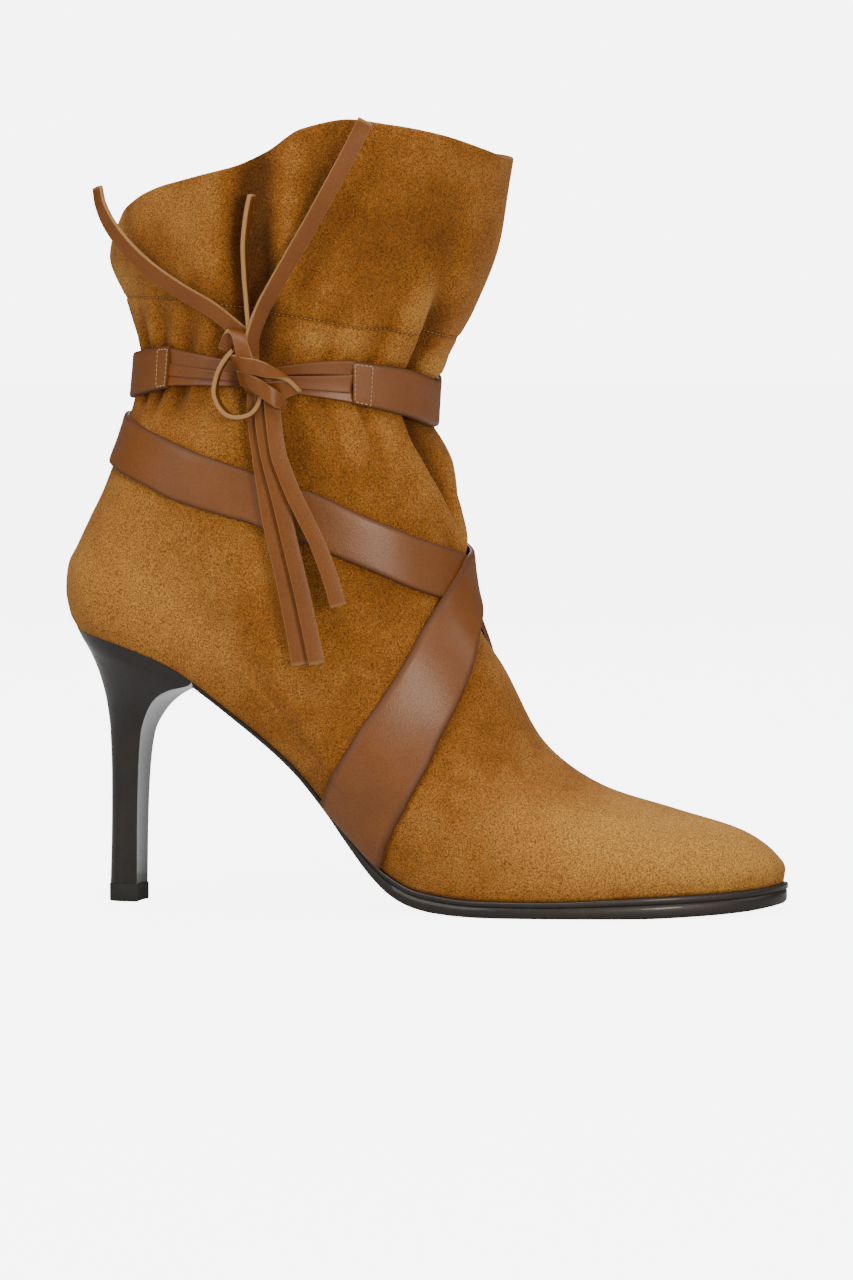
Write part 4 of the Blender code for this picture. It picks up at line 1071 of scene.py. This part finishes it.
grain_group, grain_in, grain_out = new_group(
    "leather_grain",
    (
        ("Place", "NodeSocketVector", None),
        ("Cells per metre", "NodeSocketFloat", 1500.0),
        ("Pits", "NodeSocketFloat", 0.5),
    ),
    ("Height", "Fleck"),
)
pits = grain_group.nodes.new("ShaderNodeTexVoronoi")
grain_group.links.new(grain_in.outputs["Place"], pits.inputs["Vector"])
grain_group.links.new(grain_in.outputs["Cells per metre"], pits.inputs["Scale"])
FINER = 1.7
fine_cells = math_node(grain_group, "MULTIPLY", grain_in.outputs["Cells per metre"], FINER)
fine = noise(grain_group, grain_in.outputs["Place"], fine_cells, detail=3.0, roughness=0.6)
pitted = math_node(grain_group, "MULTIPLY", pits.outputs["Distance"], grain_in.outputs["Pits"])
grain_group.links.new(math_node(grain_group, "ADD", pitted, fine), grain_out.inputs["Height"])
grain_group.links.new(fine, grain_out.inputs["Fleck"])

tone_group, tone_in, tone_out = new_group(
    "patchy_tone",
    (
        ("Place", "NodeSocketVector", None),
        ("Patches per metre", "NodeSocketFloat", 30.0),
        ("Contrast", "NodeSocketFloat", 1.5),
    ),
    ("Tone",),
)
patches = tone_in.outputs["Patches per metre"]
slow = noise(tone_group, tone_in.outputs["Place"], patches, detail=4.0, roughness=0.55)
from_middle = math_node(tone_group, "SUBTRACT", slow, 0.5)
spread = math_node(tone_group, "MULTIPLY", from_middle, tone_in.outputs["Contrast"])
tone = tone_group.nodes.new("ShaderNodeClamp")
tone_group.links.new(math_node(tone_group, "ADD", spread, 0.5), tone.inputs["Value"])
tone_group.links.new(tone.outputs[0], tone_out.inputs["Tone"])
print("node groups:", grain_group.name, tone_group.name)

# %% Tools for materials
MIX_COLOUR_INPUTS, MIX_COLOUR_OUTPUT = (0, 6, 7), 2


class Finish:
    """A material with its shader, object coordinates and short ways to add nodes."""

    def __init__(self, name, settings):
        self.material = bpy.data.materials.new(name)
        self.material.use_nodes = True
        self.tree = self.material.node_tree
        self.shader = self.tree.nodes["Principled BSDF"]
        self.place = self.tree.nodes.new("ShaderNodeTexCoord").outputs["Object"]
        for label, value in settings.items():
            self.shader.inputs[label].default_value = value

    def group(self, group, values):
        """A shared group, placed on object coordinates and given its values."""
        node = self.tree.nodes.new("ShaderNodeGroup")
        node.node_tree = group
        self.tree.links.new(self.place, node.inputs["Place"])
        for label, value in values.items():
            node.inputs[label].default_value = value
        return node.outputs

    def mark(self, name):
        """A value that is kept at the points of the mesh."""
        node = self.tree.nodes.new("ShaderNodeAttribute")
        node.attribute_name = name
        return node.outputs["Fac"]

    def blend(self, share, first, second, kind="MIX"):
        """Mix of two colours by a share, or another kind of blending."""
        node = self.tree.nodes.new("ShaderNodeMix")
        node.data_type = "RGBA"
        node.blend_type = kind
        for socket, value in zip(MIX_COLOUR_INPUTS, (share, first, second)):
            fill_socket(self.tree, node.inputs[socket], value)
        return node.outputs[MIX_COLOUR_OUTPUT]

    def remap(self, value, low, high, to_low, to_high):
        """A value stretched from one range to another and held at both ends."""
        node = self.tree.nodes.new("ShaderNodeMapRange")
        self.tree.links.new(value, node.inputs["Value"])
        for label, number in zip(("From Min", "From Max", "To Min", "To Max"), (low, high, to_low, to_high)):
            node.inputs[label].default_value = number
        return node.outputs[0]

    def math(self, kind, first, second):
        """Math node in this material."""
        return math_node(self.tree, kind, first, second)

    def feed(self, label, output):
        """Links an output to the shader's input of that name."""
        self.tree.links.new(output, self.shader.inputs[label])

    def bump(self, height, depth, strength):
        """Fine relief from a height, with its depth in metres."""
        node = self.tree.nodes.new("ShaderNodeBump")
        node.inputs["Distance"].default_value = depth
        node.inputs["Strength"].default_value = strength
        self.tree.links.new(height, node.inputs["Height"])
        self.feed("Normal", node.outputs["Normal"])


# %% [markdown]
# ## Suede
# Suede is the brushed flesh side of the hide. Its nap scatters light, so it has no gloss but a soft glow at
# the edges, and wherever it was brushed or handled the tone changes in cloudy patches. Ridges are rubbed
# lighter, and the folds are painted darker as shade. The folds' own height, kept at the points of the mesh,
# tells the shader which is which. Two more marks say where the nap was brushed lighter or darker, with some
# patches painted as highlight and shade, and how far the stitched groove is, which gets painted shade too.

# %% Suede finish
SUEDE_DARK, SUEDE_MIDDLE, SUEDE_LIGHT = (0.140, 0.044, 0.0060), (0.280, 0.101, 0.0170), (0.440, 0.210, 0.0460)
CLOUD_SHARE, BRUSHED_SHARE, RUBBED_AND_FOLD_SHADE_SHARE = 0.40, 0.16, 0.44
suede = Finish("camel_suede", {
    "Roughness": 0.95, "Specular IOR Level": 0.15, "Sheen Weight": 0.14, "Sheen Roughness": 0.5,
    "Sheen Tint": (1.0, 0.66, 0.28, 1.0),
})
cloud = suede.group(tone_group, {"Patches per metre": 24.0, "Contrast": 1.7})["Tone"]
brushed = suede.group(tone_group, {"Patches per metre": 130.0, "Contrast": 1.6})["Tone"]
nap = suede.group(grain_group, {"Cells per metre": 1250.0, "Pits": 0.35})
# Ridges rubbed lighter as wear, and folds darker as painted shade
rubbed_and_fold_shade = suede.remap(suede.mark("crease"), 0.15, 0.85, 0.0, 1.0)
share = suede.math("MULTIPLY", cloud, CLOUD_SHARE)
share = suede.math("ADD", share, suede.math("MULTIPLY", brushed, BRUSHED_SHARE))
share = suede.math("ADD", share, suede.math("MULTIPLY", rubbed_and_fold_shade, RUBBED_AND_FOLD_SHADE_SHARE))
# Brushed nap with painted highlights and shade in some patches
share = suede.math("ADD", share, suede.mark("brush_and_light"))
base = suede.blend(suede.remap(share, 0.2, 0.55, 0.0, 1.0), SUEDE_DARK, SUEDE_MIDDLE)
base = suede.blend(suede.remap(share, 0.50, 0.90, 0.0, 1.0), base, SUEDE_LIGHT)
fleck = suede.remap(nap["Fleck"], 0.33, 0.67, 0.36, 1.64)
# Painted shade: the deepest folds are darkened in colour
painted_fold_shade = suede.remap(suede.mark("crease"), 0.0, 0.40, 0.55, 1.0)
# Painted shade: a dark band along the stitched groove
sewn = suede.remap(suede.math("ABSOLUTE", suede.mark("from_stitch"), 0.0), 0.0006, 0.0028, 0.55, 1.0)
# Painted shade of the folds and the groove, times the nap's fleck
shade_and_fleck = suede.math("MULTIPLY", suede.math("MULTIPLY", painted_fold_shade, sewn), fleck)
suede.feed("Base Color", suede.blend(1.0, base, shade_and_fleck, "MULTIPLY"))
suede.bump(nap["Height"], 0.0004, 0.55)
print("suede ready:", suede.material.name)

# %% [markdown]
# ## Leather
# The straps are smooth calf leather with a fine grain, a soft shine and edges that the dye made darker.
# Thongs are the same leather but raw at the edge, which shows the pale middle of the hide. Roughness moves
# with the grain, so the shine breaks up as it does on the real straps.

# %% Strap and thong leather
STRAP_DARK, STRAP_BROWN, STRAP_EDGE = (0.150, 0.046, 0.008), (0.242, 0.080, 0.013), (0.070, 0.022, 0.006)
CUT_PALE = (0.400, 0.215, 0.085)
EDGE_MATT = 0.42


def leather_finish(name, mark, edge_colour, edge_share, shine):
    """Dyed leather with a fine grain. The named mark gives the edge another colour and dulls its shine."""
    finish = Finish(name, {"Specular IOR Level": shine})
    tone = finish.group(tone_group, {"Patches per metre": 60.0, "Contrast": 0.9})["Tone"]
    grain = finish.group(grain_group, {"Cells per metre": 1900.0, "Pits": 0.9})
    dyed = finish.blend(tone, STRAP_DARK, STRAP_BROWN)
    edge = finish.math("MULTIPLY", finish.mark(mark), edge_share)
    dyed = finish.blend(edge, dyed, edge_colour)
    fleck = finish.remap(grain["Fleck"], 0.3, 0.7, 0.84, 1.16)
    finish.feed("Base Color", finish.blend(1.0, dyed, fleck, "MULTIPLY"))
    matt = finish.math("MULTIPLY", finish.mark(mark), EDGE_MATT)
    finish.feed("Roughness", finish.math("ADD", finish.remap(grain["Fleck"], 0.3, 0.7, 0.29, 0.44), matt))
    finish.bump(grain["Height"], 0.00020, 0.18)
    return finish.material


strap_leather = leather_finish("strap_leather", "edge", STRAP_EDGE, 0.75, 0.5)
thong_leather = leather_finish("thong_leather", "cut_edge", CUT_PALE, 0.95, 0.3)
print("leathers:", strap_leather.name, thong_leather.name)

# %% [markdown]
# ## Lining, thread, sole and heel
# The quiet pieces get their own finish as well. The lining is thin undyed leather, the thread a twisted
# golden yarn, the sole's edge and the covered heel are stained nearly black and polished a little, and the
# lift is matt rubber. Each uses the same two groups with other sizes.

# %% Quiet finishes


def plain_finish(name, dark, light, coat, patches, cells, roughness, depth):
    """Patchy colour between two tones, roughness that moves with the grain, and a bump from the grain."""
    finish = Finish(name, {"Coat Weight": coat})
    tone = finish.group(tone_group, {"Patches per metre": patches, "Contrast": 1.8})["Tone"]
    grain = finish.group(grain_group, {"Cells per metre": cells, "Pits": 0.6})
    colour = finish.blend(tone, dark, light)
    fleck = finish.remap(grain["Fleck"], 0.3, 0.7, 0.85, 1.15)
    finish.feed("Base Color", finish.blend(1.0, colour, fleck, "MULTIPLY"))
    finish.feed("Roughness", finish.remap(grain["Fleck"], 0.3, 0.7, *roughness))
    finish.bump(grain["Height"], depth, 0.3)
    return finish.material


QUIET_FINISHES = (
    # name, dark tone, light tone, coat, patches, cells, roughness, depth of the bump
    ("lining_leather", (0.30, 0.17, 0.07), (0.40, 0.25, 0.12), 0.0, 40.0, 1600.0, (0.6, 0.75), 0.0002),
    ("golden_thread", (0.30, 0.130, 0.030), (0.46, 0.22, 0.060), 0.0, 400.0, 3500.0, (0.7, 0.85), 0.0002),
    ("pale_thread", (0.40, 0.24, 0.10), (0.54, 0.35, 0.17), 0.0, 400.0, 3500.0, (0.65, 0.8), 0.0002),
    ("stained_sole", (0.012, 0.008, 0.006), (0.026, 0.017, 0.013), 0.15, 45.0, 1300.0, (0.36, 0.5), 0.0002),
    ("covered_heel", (0.008, 0.006, 0.005), (0.015, 0.011, 0.009), 0.1, 50.0, 1500.0, (0.32, 0.46), 0.00015),
    ("lift_rubber", (0.010, 0.009, 0.008), (0.020, 0.018, 0.016), 0.0, 90.0, 1800.0, (0.6, 0.8), 0.0002),
)
quiet = {row[0]: plain_finish(*row) for row in QUIET_FINISHES}
print("quiet finishes:", len(quiet))

# %% Dress the pieces
SHARP_ANGLE = math.radians(50.0)
DRESSED = [
    (suede_upper, suede.material, "suede"),
    (collar_stitches, quiet["golden_thread"], "suede"),
    (tab_stitches, quiet["pale_thread"], "strap_leather"),
    *((piece, strap_leather, "strap_leather") for piece in leather_pieces),
    *((piece, thong_leather, "strap_leather") for piece in thong_pieces),
    (leather_outsole, quiet["stained_sole"], "sole_leather"),
    (covered_heel, quiet["covered_heel"], "heel_block"),
    (rubber_lift, quiet["lift_rubber"], "lift_rubber"),
    (insole_sock, quiet["lining_leather"], "insole_leather"),
]
for piece, material, slot in DRESSED:
    piece.data.materials.append(material)
suede_upper.data.materials.append(quiet["lining_leather"])
for piece in (leather_outsole, covered_heel, rubber_lift, waist_belt, cross_strap):
    piece.data.set_sharp_from_angle(angle=SHARP_ANGLE)
print("pieces dressed:", len(DRESSED))

# %% [markdown]
# ## Floor and light
# The picture has a plain white ground and soft even light. Large soft boxes stand above, behind and on both
# sides, the strongest high in front. A small warm card gives the straps their shine, and a card that lies
# on the ground behind the boot shows as the pale stripe in the heel's polished front. The floor's glow and
# nearly all of the sky's are for the camera alone, so the ground is white but doesn't wash out the boot.

# %% Floor
FLOOR_HALF, GROUND_GLOW = 30.0, 6.15
floor_mesh = bpy.data.meshes.new("studio_floor")
floor_corners = np.array(((-1, -1, 0), (1, -1, 0), (1, 1, 0), (-1, 1, 0))) * FLOOR_HALF
floor_mesh.from_pydata(floor_corners.tolist(), [], [(0, 1, 2, 3)])
floor = put_in_scene("studio_floor", floor_mesh)
paper = Finish("pale_paper", {
    "Roughness": 0.9, "Specular IOR Level": 0.0, "Emission Color": (1.0, 1.0, 1.0, 1.0),
})
paper_tone = paper.group(tone_group, {"Patches per metre": 6.0, "Contrast": 0.5})["Tone"]
paper.feed("Base Color", paper.blend(paper_tone, (0.56, 0.56, 0.56), (0.60, 0.60, 0.60)))
seen = paper.tree.nodes.new("ShaderNodeLightPath").outputs["Is Camera Ray"]
paper.feed("Emission Strength", paper.math("MULTIPLY", seen, GROUND_GLOW))
floor_mesh.materials.append(paper.material)
print("floor half width", FLOOR_HALF, "m")

# %% Light
SKY_LIGHT, SKY_SEEN = 0.17, 6.6
BOOT_MIDDLE = (0.0, 0.0, 0.10)
LIGHTS = (
    # name, place, aim, size, power, colour
    ("front_top_box", (-0.25, -0.95, 1.75), BOOT_MIDDLE, 1.1, 18.5, (1.0, 0.99, 0.97)),
    ("heel_side_box", (-0.95, -1.25, 0.70), BOOT_MIDDLE, 0.8, 8.0, (1.0, 0.98, 0.95)),
    ("shine_card", (0.80, -1.24, 0.32), BOOT_MIDDLE, 0.3, 9.0, (1.0, 0.93, 0.82)),
    ("ground_card", (0.06, 0.46, 0.003), (0.06, 0.46, 1.0), 0.84, 2.0, (1.0, 1.0, 1.0)),
    ("toe_side_box", (1.45, -0.30, 0.90), BOOT_MIDDLE, 0.8, 4.0, (0.97, 0.99, 1.0)),
    ("top_box", (0.05, 0.35, 1.70), BOOT_MIDDLE, 1.2, 10.0, (1.0, 1.0, 1.0)),
    ("back_box", (-0.4, 1.5, 1.0), BOOT_MIDDLE, 1.0, 7.0, (1.0, 1.0, 1.0)),
)
for name, place, aim, size, power, colour in LIGHTS:
    lamp = bpy.data.lights.new(name, "AREA")
    lamp.shape = "DISK"
    lamp.size = size
    lamp.energy = power
    lamp.color = colour
    holder = put_in_scene(name, lamp)
    holder.location = place
    ray = np.subtract(aim, place)
    holder.rotation_euler = (math.acos(-ray[2] / np.linalg.norm(ray)), 0.0, math.atan2(-ray[0], ray[1]))
world = bpy.data.worlds.new("studio_sky")
world.use_nodes = True
sky = world.node_tree.nodes["Background"]
sky.inputs["Color"].default_value = (1.0, 1.0, 1.0, 1.0)
seen = world.node_tree.nodes.new("ShaderNodeLightPath").outputs["Is Camera Ray"]
glow = math_node(world.node_tree, "MULTIPLY", seen, SKY_SEEN - SKY_LIGHT)
world.node_tree.links.new(math_node(world.node_tree, "ADD", glow, SKY_LIGHT), sky.inputs["Strength"])
bpy.context.scene.world = world
print("lights:", len(LIGHTS))
